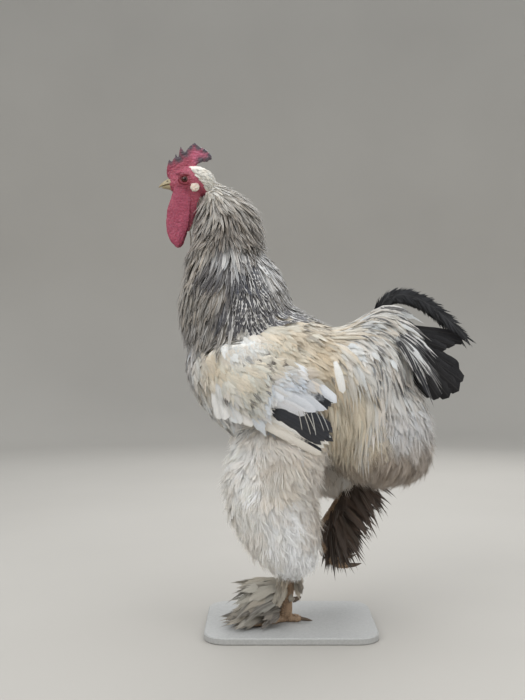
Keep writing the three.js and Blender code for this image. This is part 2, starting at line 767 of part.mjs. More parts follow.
function shankCore(hock, foot) {
  const along = (s, ...reach) => [
    THREE.MathUtils.lerp(hock.x, foot.x, s),
    THREE.MathUtils.lerp(hock.y, foot.y, s),
    THREE.MathUtils.lerp(hock.z, foot.z + 12, s),
    ...reach.map((share) => share * SHANK_RADIUS),
  ];
  const sections = [
    along(-0.06, 0.5, 0.5, 0.5),
    along(0.04, 1.35, 1.35, 1.35),
    along(0.2, 1.05, 1, 0.92),
    along(0.5, 1, 0.95, 0.86),
    along(0.8, 1.05, 1, 0.9),
    along(0.97, 1.2, 1.3, 1.15),
    along(1.06, 0.7, 0.8, 0.7),
  ];
  return new Core(sections, 7, 11);
}

const TOES = [
  // The way each toe points, in degrees round from straight ahead towards the outside, its length and radius
  { name: "middle", turn: 2, length: 72, radius: 7.6 },
  { name: "outer", turn: 34, length: 58, radius: 6.8 },
  { name: "inner", turn: -36, length: 54, radius: 7 },
  { name: "hind", turn: 170, length: 26, radius: 6.2 },
];
const CLAW = 17;
const KNUCKLES = [0.9, 1.12, 1, 1.1, 0.9, 0.98, 0.8, 0.55]; // thickness along a toe as shares of its radius

// A point along a toe in the foot's own frame, where the toe bends down by `curl` over its length.
function toePoint({ length, radius }, curl, distance) {
  const bend = Math.max(curl, 1e-4) / length;
  const angle = bend * distance;
  return [Math.sin(angle) / bend, 0, radius * 0.78 - (1 - Math.cos(angle)) / bend];
}
function toeCore(toe, curl) {
  const { length, radius } = toe;
  const sections = KNUCKLES.map((k, i) => {
    const place = toePoint(toe, curl, length * (-0.08 + (1.06 * i) / (KNUCKLES.length - 1)));
    return [...place, radius * k * 0.95, radius * k, radius * k];
  });
  return new Core(sections, 7, 7);
}
function clawCore(toe, curl) {
  const { length, radius } = toe;
  const start = length * 0.98 + GAP;
  const sections = [0.5, 0.44, 0.28, 0.05].map((k, i) => {
    const [x, y, z] = toePoint(toe, curl, start + (CLAW * i) / 3);
    return [x, y, z - radius * 0.13 * i, radius * k, radius * k, radius * k * 0.8];
  });
  return new Core(sections, 3, 5);
}

const LEGS = {
  [LEFT]: { hock: LEFT_HOCK, foot: LEFT_FOOT, ahead: vector(-1, 0, 0), sole: vector(0, 0, -1), curl: 0 },
  [RIGHT]: { hock: RIGHT_HOCK, foot: RIGHT_FOOT, ahead: vector(-0.1, 0, -1), sole: vector(1, 0, -0.1), curl: 1.7 },
};

// The foot's own frame: its x runs along a toe that turns out by `turn` degrees, and its z up from the sole.
function placement({ foot, ahead, sole }, side, turn) {
  const over = sole.clone().negate().normalize();
  const front = ahead.clone().addScaledVector(over, -ahead.dot(over)).normalize();
  const direction = front.applyAxisAngle(over, -side * degrees(turn));
  const across = over.clone().cross(direction);
  return new THREE.Matrix4().makeBasis(direction, across, over).setPosition(foot.x, foot.y, foot.z);
}

const FLOOR = new THREE.BoxGeometry(700, 500, 100).translate(0, 0, -50);
const aboveFloor = (shape) => shape.subtract(solid(FLOOR));

// Rows of stiff feathers on the shank: from and to are places along it, angle is round it from the bird's
// right (0) over its back (90), and heading and turn give the way of the first feather and how it changes.
const BOOTS = {
  [LEFT]: [
    { count: 3, from: 0.5, to: 0.72, angle: 245, heading: [-1, -0.1, 0.24], turn: [0.05, 0, -0.1], length: 106, width: 30 },
    { count: 3, from: 0.7, to: 0.92, angle: 215, heading: [-1, -0.22, 0.24], turn: [0.05, 0.1, -0.1], length: 104, width: 30 },
  ],
  [RIGHT]: [
    { count: 4, from: 0.15, to: 0.8, angle: 90, heading: [0.8, 0.1, -0.6], turn: [-0.3, 0, -0.25], length: 66, width: 34 },
    { count: 3, from: 0.25, to: 0.8, angle: 40, heading: [0.5, 0.4, -0.6], turn: [0, 0, -0.2], length: 60, width: 32 },
    { count: 3, from: 0.3, to: 0.8, angle: 140, heading: [0.6, -0.2, -0.6], turn: [-0.2, 0, -0.2], length: 54, width: 32 },
  ],
};
// Feathers on the toes: from and to are shares of the toe's length.
const TOE_FEATHERS = {
  [LEFT]: [
    { toe: 0, count: 2, from: 0.15, to: 0.55, heading: [0.9, 0.25, 0.5], length: 54, width: 28 },
    { toe: 1, count: 2, from: 0.3, to: 0.7, heading: [0.9, 0.2, 0.5], length: 50, width: 26 },
  ],
  [RIGHT]: [
    { toe: 0, count: 2, from: 0.1, to: 0.45, heading: [0.6, 0.3, 0.7], length: 40, width: 24 },
    { toe: 1, count: 2, from: 0.1, to: 0.45, heading: [0.6, 0.3, 0.7], length: 36, width: 24 },
  ],
};

function feather(start, way, face, row, random) {
  const form = { length: row.length * (1 + 0.12 * random()), bend: vector(0, 0, -0.3), outline: ROUNDED };
  way.add(vector(0.05 * random(), 0.05 * random(), 0.05 * random())).normalize();
  const across = face.clone().addScaledVector(way, -face.dot(way)).normalize();
  return { ...sweep(start, way, across, form), ...form, width: row.width };
}

function bootVanes(side, shank) {
  const random = seeded(67 + side);
  return BOOTS[side].flatMap((row) =>
    Array.from({ length: row.count }, (_, k) => {
      const share = k / (row.count - 1);
      const t = THREE.MathUtils.lerp(row.from, row.to, share);
      const start = shank.point(t, degrees(row.angle)).addScaledVector(shank.outward(t, degrees(row.angle)), -SINK);
      const way = vector(...row.heading).addScaledVector(vector(...row.turn), share);
      const made = feather(start, way, vector(0, 0.9 * side, 1), row, random);
      if (side === LEFT) made.path.forEach((point) => point.setZ(Math.max(point.z, 8 + 2.2 * (row.count - k))));
      return made;
    }),
  );
}

function toeVanes(side) {
  const { curl } = LEGS[side];
  const random = seeded(83 + side);
  return TOE_FEATHERS[side].flatMap((row) =>
    Array.from({ length: row.count }, (_, k) => {
      const toe = TOES[row.toe];
      const frame = placement(LEGS[side], side, toe.turn);
      const share = THREE.MathUtils.lerp(row.from, row.to, k / (row.count - 1));
      const start = vector(...toePoint(toe, curl, share * toe.length)).applyMatrix4(frame);
      const [x, y, z] = row.heading;
      const way = vector(x, -side * y, z).transformDirection(frame);
      const made = feather(start, way, vector(0.1, 0, 1).transformDirection(frame), row, random);
      if (side === LEFT) made.path.forEach((point) => point.setZ(Math.max(point.z, 4 + 1.5 * k)));
      return made;
    }),
  );
}

const SPUR = { place: 0.68, length: 19 };
bothSides((side, word) => {
  const leg = LEGS[side];
  const shank = shankCore(leg.hock, leg.foot);
  const curled = (toe) => (toe.name === "hind" ? leg.curl / 2 : leg.curl);
  const placed = (core, toe, grow) => {
    const shape = solid(grown(core.skin, grow).clone().applyMatrix4(placement(leg, side, toe.turn)));
    return side === LEFT ? aboveFloor(shape) : shape;
  };
  const boots = bootVanes(side, shank);
  node(`shank_${word}`, COLOURS.leg, 0.6, (grow) => [shank.solid(grow), ...vaneSolids(boots, grow)]);
  const fringe = toeVanes(side);
  node(`foot_${word}`, COLOURS.foot, 0.6, (grow) => [
    ...TOES.map((toe) => placed(toeCore(toe, curled(toe)), toe, grow)),
    ...vaneSolids(fringe, grow),
  ]);
  TOES.forEach((toe) => {
    node(`claw_${toe.name}_${word}`, COLOURS.claw, 0.4, (grow) => [placed(clawCore(toe, curled(toe)), toe, grow)]);
  });
  const spurAt = (s, radius) => {
    const place = shank.middle(SPUR.place).add(vector(3 + SPUR.length * s, -side * 6 * s, 4 * s * s));
    return [...place.toArray(), radius, radius, radius];
  };
  const spur = new Core([spurAt(0, 4.6), spurAt(0.5, 4.2), spurAt(0.85, 3), spurAt(1, 0.6)], 3, 7);
  node(`spur_${word}`, COLOURS.horn, 0.45, (grow) => [spur.solid(grow)]);
});

// Assembly: each node gives way to the ones before it, a gap apart from them

const ORDER = [
  /^eye/, /^head/, /^beak/, /^comb/, /^wattle/, /^ear/, /^trunk/, /^neck/, /^wing/, /^shank/, /^thigh/, /^fluff/,
  /^tail/, /^sickle_base/, /^sickle_tip/, /^claw/, /^spur/, /^foot/,
];
const bird = new THREE.Group();
const made = [];
for (const kind of ORDER) {
  for (const { name, colour, roughness, pieces } of nodes.filter((one) => kind.test(one.name))) {
    let shape = join(pieces(0));
    for (const other of made) {
      if (!apart(shape, other.around)) shape = shape.subtract(other.around);
    }
    shape = largest(shape);
    made.push({ name, around: join(pieces(GAP)) });
    const material = new THREE.MeshStandardMaterial({ color: colour, roughness, metalness: 0 });
    const mesh = new THREE.Mesh(geometryOf(shape), material);
    mesh.name = name;
    bird.add(mesh);
  }
}

// Base: what keeps a bird on one leg from falling over. Its underside is the model's ground.

function roundedSlab({ length, width, height, corner, edge }) {
  const [a, b] = [length / 2 - edge, width / 2 - edge];
  const outline = new THREE.Shape();
  outline.moveTo(a - corner, -b).absarc(a - corner, corner - b, corner, -Math.PI / 2, 0);
  outline.absarc(a - corner, b - corner, corner, 0, Math.PI / 2);
  outline.absarc(corner - a, b - corner, corner, Math.PI / 2, Math.PI);
  outline.absarc(corner - a, corner - b, corner, Math.PI, 1.5 * Math.PI);
  const bevel = { bevelThickness: edge, bevelSize: edge, bevelSegments: 1 };
  const slab = new THREE.ExtrudeGeometry(outline, { depth: height - 2 * edge, curveSegments: 3, ...bevel });
  return solid(slab.translate(0, 0, edge));
}
const baseMaterial = new THREE.MeshStandardMaterial({ color: COLOURS.base, roughness: 0.85, metalness: 0 });
const base = new THREE.Mesh(geometryOf(roundedSlab(BASE)), baseMaterial);
base.name = "stand_base";

const model = new THREE.Group();
bird.position.z = BASE.height + GAP;
model.add(base, bird);

export default model;
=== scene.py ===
# A brahma cock in mid stride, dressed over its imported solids. Lengths are in metres; the tables of
# cross sections, places and directions are in millimetres above the soles, as in the part's source.
import math

import bpy
import numpy as np
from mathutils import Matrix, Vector, noise
from mathutils.bvhtree import BVHTree
from mathutils.kdtree import KDTree


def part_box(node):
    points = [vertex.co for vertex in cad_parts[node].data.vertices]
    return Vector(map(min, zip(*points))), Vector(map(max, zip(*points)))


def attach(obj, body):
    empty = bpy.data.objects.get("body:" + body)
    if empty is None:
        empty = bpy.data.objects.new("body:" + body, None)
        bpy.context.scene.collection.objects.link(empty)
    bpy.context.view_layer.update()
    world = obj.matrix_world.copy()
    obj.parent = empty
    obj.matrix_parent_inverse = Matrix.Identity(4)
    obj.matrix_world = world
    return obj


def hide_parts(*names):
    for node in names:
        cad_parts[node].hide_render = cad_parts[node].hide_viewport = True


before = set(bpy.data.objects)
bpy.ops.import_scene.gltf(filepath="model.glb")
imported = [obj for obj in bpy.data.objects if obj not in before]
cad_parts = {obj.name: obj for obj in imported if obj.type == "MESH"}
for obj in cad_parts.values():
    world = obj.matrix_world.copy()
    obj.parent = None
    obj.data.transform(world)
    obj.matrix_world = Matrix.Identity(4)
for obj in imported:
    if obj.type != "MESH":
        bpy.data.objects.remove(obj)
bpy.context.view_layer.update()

# Camera: level with the bird's back and square to its left side, as the photograph was taken.
# Its distance makes one pixel of the 525 x 700 picture 1.5 mm at the bird's middle plane.
CAMERA_DISTANCE = 1.35
VIEW_HEIGHT = 700 * 0.0015
SENSOR_HEIGHT = 24
camera_data = bpy.data.cameras.new("camera")
camera_data.sensor_fit = "VERTICAL"
camera_data.sensor_height = SENSOR_HEIGHT
camera_data.lens = SENSOR_HEIGHT * CAMERA_DISTANCE / VIEW_HEIGHT
camera_data.clip_end = 20
camera = bpy.data.objects.new("camera", camera_data)
camera.location = (-0.04125, -CAMERA_DISTANCE, 0.41235)
camera.rotation_euler = (math.radians(90), 0, 0)
bpy.context.scene.collection.objects.link(camera)
bpy.context.scene.camera = camera

# Studio: a plain pale floor that curves up into a wall all round, open at the top, with a large
# soft light in front on the left, a weaker one on the right and a broad one overhead.
FLOOR_RADIUS, COVE, WALL = 2.6, 0.9, 2.4
COVE_STEPS, AROUND = 12, 72
profile = [(0.0, 0.0), (FLOOR_RADIUS, 0.0)]
for step in range(1, COVE_STEPS + 1):
    turn = math.pi / 2 * step / COVE_STEPS
    profile.append((FLOOR_RADIUS + COVE * math.sin(turn), COVE * (1 - math.cos(turn))))
profile.append((FLOOR_RADIUS + COVE, WALL))
studio_points = [(0.0, 0.0, 0.0)]
studio_faces = []
for radius, height in profile[1:]:
    for k in range(AROUND):
        angle = 2 * math.pi * k / AROUND
        studio_points.append((radius * math.cos(angle), radius * math.sin(angle), height))
for k in range(AROUND):
    after = (k + 1) % AROUND
    studio_faces.append((0, 1 + k, 1 + after))
    for ring in range(len(profile) - 2):
        low, high = 1 + ring * AROUND, 1 + (ring + 1) * AROUND
        studio_faces.append((low + k, high + k, high + after, low + after))
studio_mesh = bpy.data.meshes.new("studio")
studio_mesh.from_pydata(studio_points, [], studio_faces)
studio_mesh.shade_smooth()
studio = bpy.data.objects.new("studio", studio_mesh)
bpy.context.scene.collection.objects.link(studio)


def new_material(name, roughness):
    """A material, its node tree and its Principled shader."""
    material = bpy.data.materials.new(name)
    material.use_nodes = True
    tree = material.node_tree
    shader = tree.nodes["Principled BSDF"]
    shader.inputs["Roughness"].default_value = roughness
    return material, tree, shader


def set_inputs(tree, node, inputs):
    """Sets each input of a node to a value, or links it from a socket."""
    for name, value in inputs.items():
        if isinstance(value, bpy.types.NodeSocket):
            tree.links.new(value, node.inputs[name])
        else:
            node.inputs[name].default_value = value


def add_node(tree, kind, inputs=None, **settings):
    """A node with its settings and its inputs."""
    made = tree.nodes.new(kind)
    for name, value in settings.items():
        setattr(made, name, value)
    set_inputs(tree, made, inputs or {})
    return made


def own_place(tree):
    return add_node(tree, "ShaderNodeTexCoord").outputs["Object"]


def grain(tree, place, scale, detail):
    """Smooth noise with scale lumps to the metre."""
    return add_node(tree, "ShaderNodeTexNoise", {"Vector": place, "Scale": scale, "Detail": detail}).outputs["Fac"]


def mixed(tree, share, first, second):
    """A colour between two."""
    return add_node(tree, "ShaderNodeMix", {"Factor": share, 6: first, 7: second}, data_type="RGBA").outputs[2]


def bumped(tree, height, strength, depth):
    """The facing of a surface that stands up by a height of 0 to 1 times a depth in metres."""
    inputs = {"Height": height, "Strength": strength, "Distance": depth}
    return add_node(tree, "ShaderNodeBump", inputs).outputs["Normal"]


def mottled(name, roughness, scale, detail, dark, light, bump=0.0):
    """A material clouded between two colours, whose lumps can also stand up by half a millimetre."""
    material, tree, shader = new_material(name, roughness)
    lumps = grain(tree, own_place(tree), scale, detail)
    colour = mixed(tree, lumps, (*dark, 1), (*light, 1))
    set_inputs(tree, shader, {"Base Color": colour})
    if bump:
        set_inputs(tree, shader, {"Normal": bumped(tree, lumps, bump, 0.0005)})
    return material, tree, shader, colour


studio_mesh.materials.append(mottled("studio_paper", 0.9, 1.4, 3.0, (0.4, 0.38, 0.35), (0.47, 0.45, 0.415))[0])

LIGHTS = [
    # name, place, size, watts
    ("key", (-1.5, -1.7, 1.9), 1.8, 32),
    ("fill", (1.7, -1.3, 1.1), 1.4, 14),
    ("top", (0.1, 0.1, 2.3), 2.4, 26),
    ("back", (0.6, 1.9, 1.5), 1.4, 16),
]
BIRD_MIDDLE = Vector((0.03, 0, 0.38))
for name, where, size, watts in LIGHTS:
    light = bpy.data.lights.new(name, "AREA")
    light.shape = "SQUARE"
    light.size = size
    light.energy = watts
    lamp = bpy.data.objects.new(name, light)
    lamp.location = where
    lamp.rotation_euler = (BIRD_MIDDLE - Vector(where)).to_track_quat("-Z", "Y").to_euler()
    bpy.context.scene.collection.objects.link(lamp)
world = bpy.data.worlds.new("world")
world.use_nodes = True
world.node_tree.nodes["Background"].inputs["Color"].default_value = (0.9, 0.95, 1, 1)
world.node_tree.nodes["Background"].inputs["Strength"].default_value = 0.8
bpy.context.scene.world = world
bpy.context.scene.view_settings.view_transform = "Standard"

# Skin under the plumage: one closed surface over neck, trunk, wings, thighs and the cushion below the
# tail. It is lofted through the same cross sections as the solids, fused, and drawn in by the coat's depth.
MM = 0.001
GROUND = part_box("stand_base")[1].z + 0.35 * MM  # height of the soles over the base
# [x, y, z, above, below, beside]: the middle of a section and how far it reaches on each side of it
BODY_SECTIONS = {
    "trunk": [
        (-157, 0, 380, 10, 12, 12), (-150, 0, 377, 34, 32, 38), (-125, 0, 366, 64, 58, 65),
        (-85, 0, 356, 88, 84, 86), (-35, 0, 350, 107, 104, 97), (15, 0, 344, 116, 110, 98),
        (65, 0, 338, 98, 104, 92), (104, 0, 348, 102, 102, 80), (135, 0, 364, 101, 90, 64),
        (165, 0, 380, 77, 64, 42), (184, 0, 394, 34, 28, 18),
    ],
    "fluff": [
        (58, 0, 258, 22, 22, 30), (80, 0, 256, 42, 38, 56), (115, 0, 258, 62, 54, 72),
        (152, 0, 268, 76, 68, 74), (182, 0, 276, 74, 70, 62), (202, 0, 274, 54, 56, 40),
        (210, 0, 272, 18, 18, 13),
    ],
    "neck": [
        (-127, 0, 652, 6, 6, 6), (-118, 0, 636, 26, 18, 23), (-106, 0, 606, 48, 33, 34),
        (-99, 0, 575, 54, 46, 42), (-95, 0, 543, 53, 58, 49), (-88, 0, 508, 72, 73, 60),
        (-82, 0, 470, 82, 82, 72), (-78, 0, 430, 82, 79, 77), (-74, 0, 390, 60, 70, 66),
        (-70, 0, 358, 16, 16, 16),
    ],
    "thigh_left": [
        (-10, -46, 312, 30, 30, 26), (-16, -54, 270, 62, 60, 42), (-26, -60, 226, 68, 66, 47),
        (-29, -60, 190, 66, 65, 45), (-21, -58, 158, 60, 58, 40), (-6, -55, 128, 54, 52, 35),
        (10, -52, 102, 38, 38, 28), (24, -50, 84, 14, 14, 13),
    ],
    "thigh_right": [
        (-70, 44, 300, 26, 26, 24), (-44, 54, 272, 52, 50, 42), (-4, 60, 248, 58, 56, 47),
        (34, 60, 229, 50, 52, 43), (68, 57, 213, 38, 40, 34), (96, 53, 201, 24, 26, 24),
        (110, 50, 195, 8, 8, 8),
    ],
    "wing_left": [
        (-127, -62, 372, 8, 8, 6), (-112, -80, 374, 34, 30, 14), (-75, -91, 372, 46, 44, 17),
        (-30, -96, 362, 50, 46, 14), (12, -95, 347, 46, 42, 10), (42, -91, 330, 34, 32, 8),
        (62, -88, 318, 12, 12, 5),
    ],
    "tail": [
        (164, 0, 430, 10, 24, 12), (178, 0, 424, 16, 38, 18), (192, 0, 413, 12, 34, 15),
        (203, 0, 404, 4, 9, 5),
    ],
}
BODY_SECTIONS["wing_right"] = [(x, -y, z, *reach) for x, y, z, *reach in BODY_SECTIONS["wing_left"]]
UPRIGHT = ("trunk", "fluff")  # their sections stand upright; the others' are square to their line


def in_frame(points):
    """Millimetres above the soles to metres above the floor."""
    points = np.array(points, float) * MM
    points[..., 2] += GROUND
    return points


def between(a, b, c, d, u):
    """The smooth way from b to c, given the points before and after them."""
    bend = (2 * a - 5 * b + 4 * c - d) * u * u + (3 * b - a - 3 * c + d) * u**3
    return b + 0.5 * ((c - a) * u + bend)


def row_at(rows, t):
    """Section number t of 0 to 1, smoothly between the listed ones."""
    last = len(rows) - 1
    spot = min(max(t, 0), 1) * last
    i = min(int(spot), last - 1)
    a, b, c, d = (np.array(rows[min(max(k, 0), last)], float) for k in (i - 1, i, i + 1, i + 2))
    return between(a, b, c, d, spot - i)


def way_along(rows, t, step=0.005):
    """The way from just before section t to just after it."""
    return row_at(rows, t + step)[:3] - row_at(rows, t - step)[:3]


def oval(row, side, up, count):
    """The points round one cross section."""
    x, y, z, above, below, beside = row
    points = []
    for j in range(count):
        angle = 2 * math.pi * j / count
        high = math.sin(angle)
        reach = high * (above if high > 0 else below)
        points.append(np.array((x, y, z)) + side * math.cos(angle) * beside + up * reach)
    return points


def ringed(rings, sides):
    """The faces of a skin of rings of points, closed at both ends."""
    faces = []
    for i in range(rings):
        for j in range(sides):
            after = (j + 1) % sides
            faces.append((i * sides + j, i * sides + after, (i + 1) * sides + after, (i + 1) * sides + j))
    faces.append(tuple(range(sides))[::-1])
    faces.append(tuple(rings * sides + j for j in range(sides)))
    return faces


def loft(rows, rings, sides, upright=False):
    """Points in metres and faces of a closed skin through cross sections."""
    up, side = np.array((0.0, 0, 1)), np.array((0.0, 1, 0))
    points = []
    for i in range(rings + 1):
        t = 0.005 + 0.99 * i / rings
        if not upright:
            along = way_along(rows, t)
            along /= np.linalg.norm(along)
            up = np.cross(along, (0, 1, 0))
            up /= np.linalg.norm(up)
            side = np.cross(up, along)
        points += oval(row_at(rows, t), side, up, sides)
    return in_frame(points), ringed(rings, sides)


def mesh_object(name, points, faces):
    """A mesh object at the origin, its faces turned outwards."""
    mesh = bpy.data.meshes.new(name)
    mesh.from_pydata([tuple(p) for p in points], [], faces)
    if sum(np.dot(points[f[0]], np.cross(points[f[1]], points[f[2]])) for f in faces if len(f) < 5) < 0:
        mesh.flip_normals()
    made = bpy.data.objects.new(name, mesh)
    bpy.context.scene.collection.objects.link(made)
    return made


def fused(name, parts, voxel, smoothing):
    """The union of closed parts, each (points, faces), as one smooth mesh object."""
    points, faces = [], []
    for part_points, part_faces in parts:
        faces += [tuple(v + len(points) for v in f) for f in part_faces]
        points += list(part_points)
    made = mesh_object(name, points, faces)
    remesh = made.modifiers.new("fuse", "REMESH")
    remesh.mode = "VOXEL"
    remesh.voxel_size = voxel
    smooth = made.modifiers.new("smooth", "SMOOTH")
    smooth.factor = 0.5
    smooth.iterations = smoothing
    return as_plain_mesh(made)


def as_plain_mesh(made):
    """Applies an object's modifiers."""
    bpy.context.view_layer.update()
    solid = bpy.data.meshes.new_from_object(made.evaluated_get(bpy.context.evaluated_depsgraph_get()))
    old = made.data
    made.modifiers.clear()
    made.data = solid
    solid.name = old.name
    bpy.data.meshes.remove(old)
    return made


def vertex_values(mesh, name):
    """The places ("co") or the facings ("normal") of a mesh's points."""
    values = np.empty(len(mesh.vertices) * 3, np.float32)
    mesh.vertices.foreach_get(name, values)
    return values.reshape(-1, 3).astype(float)


def swell(mesh, distance):
    """Moves each point of a mesh out along its normal."""
    places = vertex_values(mesh, "co") + distance * vertex_values(mesh, "normal")
    mesh.vertices.foreach_set("co", places.astype(np.float32).ravel())
    mesh.update()


COAT_DEPTH = 5 * MM
body_lofts = {name: loft(rows, 40, 40, name in UPRIGHT) for name, rows in BODY_SECTIONS.items()}
skin = fused("skin", body_lofts.values(), 4 * MM, 16)
swell(skin.data, -COAT_DEPTH)

# Head: a narrow skull and throat, with a bare, finely wrinkled red face, a single blade comb, hanging
# wattles, pale ear lobes, brows and lids. The parts are fused fine and then joined to the body's skin.
SKULL = [
    (-181, 0, 652, 5, 6, 5), (-177, 0, 652, 10, 12, 9.5), (-168, 0, 653, 17, 16, 14),
    (-156, 0, 655, 21, 20, 17.5), (-143, 0, 656, 22, 21, 20), (-130, 0, 655, 20, 21, 20),
    (-119, 0, 651, 15, 17, 16), (-112, 0, 648, 5, 6, 6),
]
THROAT = [
    (-148, 0, 643, 21, 16, 13), (-147, 0, 624, 14, 11, 8), (-149, 0, 604, 7, 7, 5),
    (-151, 0, 586, 4, 4, 3), (-152, 0, 580, 1, 1, 1),
]
WATTLE = [
    (-163, -8.5, 645, 10, 10, 4), (-163.5, -9, 626, 14.5, 15, 3.2), (-166.5, -8.5, 606, 17, 17.5, 2.9),
    (-168.5, -8, 588, 16.5, 17, 3.1), (-169, -8, 573, 12.5, 13.5, 3.3), (-168, -8.3, 561, 7, 7, 2.8),
    (-167.5, -8.5, 556, 1.5, 1.5, 1.2),
]
COMB_OUTLINE = [
    (-180, 655), (-184, 664), (-184.6, 673), (-181, 687), (-176.5, 683.5), (-171, 695), (-167.5, 689),
    (-164.2, 707), (-157.5, 697.5), (-150.5, 707), (-143, 712.5), (-136.5, 707), (-125.5, 702),
    (-118, 694), (-118, 688.5), (-124, 685), (-133, 684.5), (-140.5, 680), (-147, 672), (-147, 660),
]
EYE = np.array((-156, 13.6, 655.0))
EYE_RADIUS = 6.5


def ball(middle, radii, rows=14, around=24):
    """A closed ellipsoid, in millimetres."""
    points = [(0, 0, -1.0)]
    for i in range(1, rows):
        low = -math.cos(math.pi * i / rows)
        ring = math.sin(math.pi * i / rows)
        for j in range(around):
            angle = 2 * math.pi * j / around
            points.append((ring * math.cos(angle), ring * math.sin(angle), low))
    points.append((0, 0, 1.0))
    faces = [(0, 1 + (j + 1) % around, 1 + j) for j in range(around)]
    for i in range(rows - 2):
        for j in range(around):
            a, b = 1 + i * around, 1 + (i + 1) * around
            after = (j + 1) % around
            faces.append((a + j, a + after, b + after, b + j))
    top = len(points) - 1
    faces += [(top, top - around + j, top - around + (j + 1) % around) for j in range(around)]
    return in_frame(np.array(points) * radii + middle), faces


def lid_ring(side, around=36, across=12):
    """The rolled lids round one eye."""
    opening, thick = 7.1, 1.9
    points, faces = [], []
    for i in range(around):
        turn = 2 * math.pi * i / around
        for j in range(across):
            roll = 2 * math.pi * j / across
            out = opening + thick * math.cos(roll)
            points.append((
                EYE[0] + 1.16 * out * math.cos(turn),
                side * (17.6 + thick * math.sin(roll) - 1.4 * abs(math.cos(turn)) ** 3),
                EYE[2] + 0.94 * out * math.sin(turn),
            ))
            a, b = i * across, (i + 1) % around * across
            after = (j + 1) % across
            face = (a + j, b + j, b + after, a + after)
            faces.append(face if side < 0 else face[::-1])
    return in_frame(points), faces


def comb_plate():
    """The comb's blade: its outline, thick at the root and thin at the points."""
    root, tips, half_root, half_tips = 655, 710, 5.2, 2.4
    outline = []
    for k in range(len(COMB_OUTLINE)):
        a, b = np.array(COMB_OUTLINE[k]), np.array(COMB_OUTLINE[(k + 1) % len(COMB_OUTLINE)])
        outline += [a + (b - a) * s / 3 for s in range(3)]
    points = []
    for side in (-1, 1):
        points += [(x, side * np.interp(z, (root, tips), (half_root, half_tips)), z) for x, z in outline]
    count = len(outline)
    faces = [(k, count + k, count + (k + 1) % count, (k + 1) % count) for k in range(count)]
    faces += [tuple(range(count)), tuple(range(count, 2 * count))[::-1]]
    return in_frame(points), faces


HEAD_PARTS = {
    "face": [loft(SKULL, 40, 40, upright=True), loft(THROAT, 40, 24)],
    "brow": [ball((-157, 11 * side, 664.5), (14, 6.5, 4.2)) for side in (-1, 1)],
    "lid": [lid_ring(-1), lid_ring(1)],
    "lobe": [ball((-141.5, 19.5 * side, 642), (7.2, 2.6, 6.1)) for side in (-1, 1)],
    "wattle": [loft([(x, side * -y, z, *reach) for x, y, z, *reach in WATTLE], 50, 32) for side in (-1, 1)],
    "comb": [comb_plate()],
}
head_points = [np.concatenate([points for points, _ in parts]) for parts in HEAD_PARTS.values()]


def nearest_of(points, groups):
    """For each point, the number of the group of points that comes closest."""
    tree = KDTree(sum(len(g) for g in groups))
    owner = []
    for number, group in enumerate(groups):
        for place in group:
            tree.insert(place, len(owner))
            owner.append(number)
    tree.balance()
    return np.array([owner[tree.find(p)[1]] for p in points])


def roughly(points, size, seed=0.0):
    """Smooth noise of -1 to 1 over places, with lumps of about the given size."""
    return np.array([noise.noise(Vector(p) / size + Vector((seed, seed, seed))) for p in points])


head = fused("head", [p for parts in HEAD_PARTS.values() for p in parts], 1.0 * MM, 3)
head_places = vertex_values(head.data, "co")
part_of = nearest_of(head_places, head_points)
# Folds: fine wrinkles on the face, pimples on the comb and long hanging pleats on the wattles.
relief = 0.5 * roughly(head_places, 2.4 * MM) + 0.25 * roughly(head_places, 1.2 * MM, 7)
relief += 0.7 * (0.5 - np.abs(roughly(head_places * (1, 1, 1.8), 5 * MM, 5)) * 2.2)
pleats = roughly(head_places * (1, 1, 0.3), 5 * MM, 3)
is_wattle = part_of == list(HEAD_PARTS).index("wattle")
relief[is_wattle] = 0.6 * relief[is_wattle] + 0.7 * pleats[is_wattle]
relief[part_of == list(HEAD_PARTS).index("comb")] *= 1.3
swell(head.data, (relief * MM)[:, None])

join = skin.modifiers.new("head", "BOOLEAN")
join.operation = "UNION"
join.object = head
join.solver = "MANIFOLD"
as_plain_mesh(skin)
bpy.data.objects.remove(head)
skin.data.shade_smooth()
skin_places = vertex_values(skin.data, "co")

# The skin's unwrap and its colours: bare red flesh on the face, and under the coat the ground colours
# and marks of the feathers that root there. Every feather finds its own place on the same unwrap.
bpy.context.view_layer.objects.active = skin
skin.select_set(True)
skin.data.uv_layers.new(name="OFBake")
bpy.ops.object.mode_set(mode="EDIT")
bpy.ops.mesh.select_all(action="SELECT")
bpy.ops.uv.smart_project(angle_limit=math.radians(66), island_margin=0.002)
bpy.ops.object.mode_set(mode="OBJECT")

SOURCES = [*body_lofts, *HEAD_PARTS]
source_points = [points for points, _ in body_lofts.values()] + head_points
vertex_source = nearest_of(skin_places, source_points)


def comes_from(source, *names):
    """Which of these numbers of parts stand for the named ones."""
    return np.isin(source, [SOURCES.index(n) for n in names])


def above_soles(points):
    """Metres in the frame to millimetres above the soles."""
    return (points - (0, 0, GROUND)) / MM


def weights(points, table, reach):
    """How much each row of a table, placed by its x and z in millimetres, counts at each point."""
    apart = ((above_soles(points)[:, None, ::2] - table[None, :, :2]) ** 2).sum(2)
    apart -= apart.min(1, keepdims=True)
    share = np.exp(-apart / (2 * reach * reach))
    return share / share.sum(1, keepdims=True)


def linear(colour):
    """A screen colour of 0 to 255 as light."""
    c = np.array(colour, float) / 255
    return np.where(c < 0.04, c / 12.92, ((c + 0.055) / 1.055) ** 2.4)


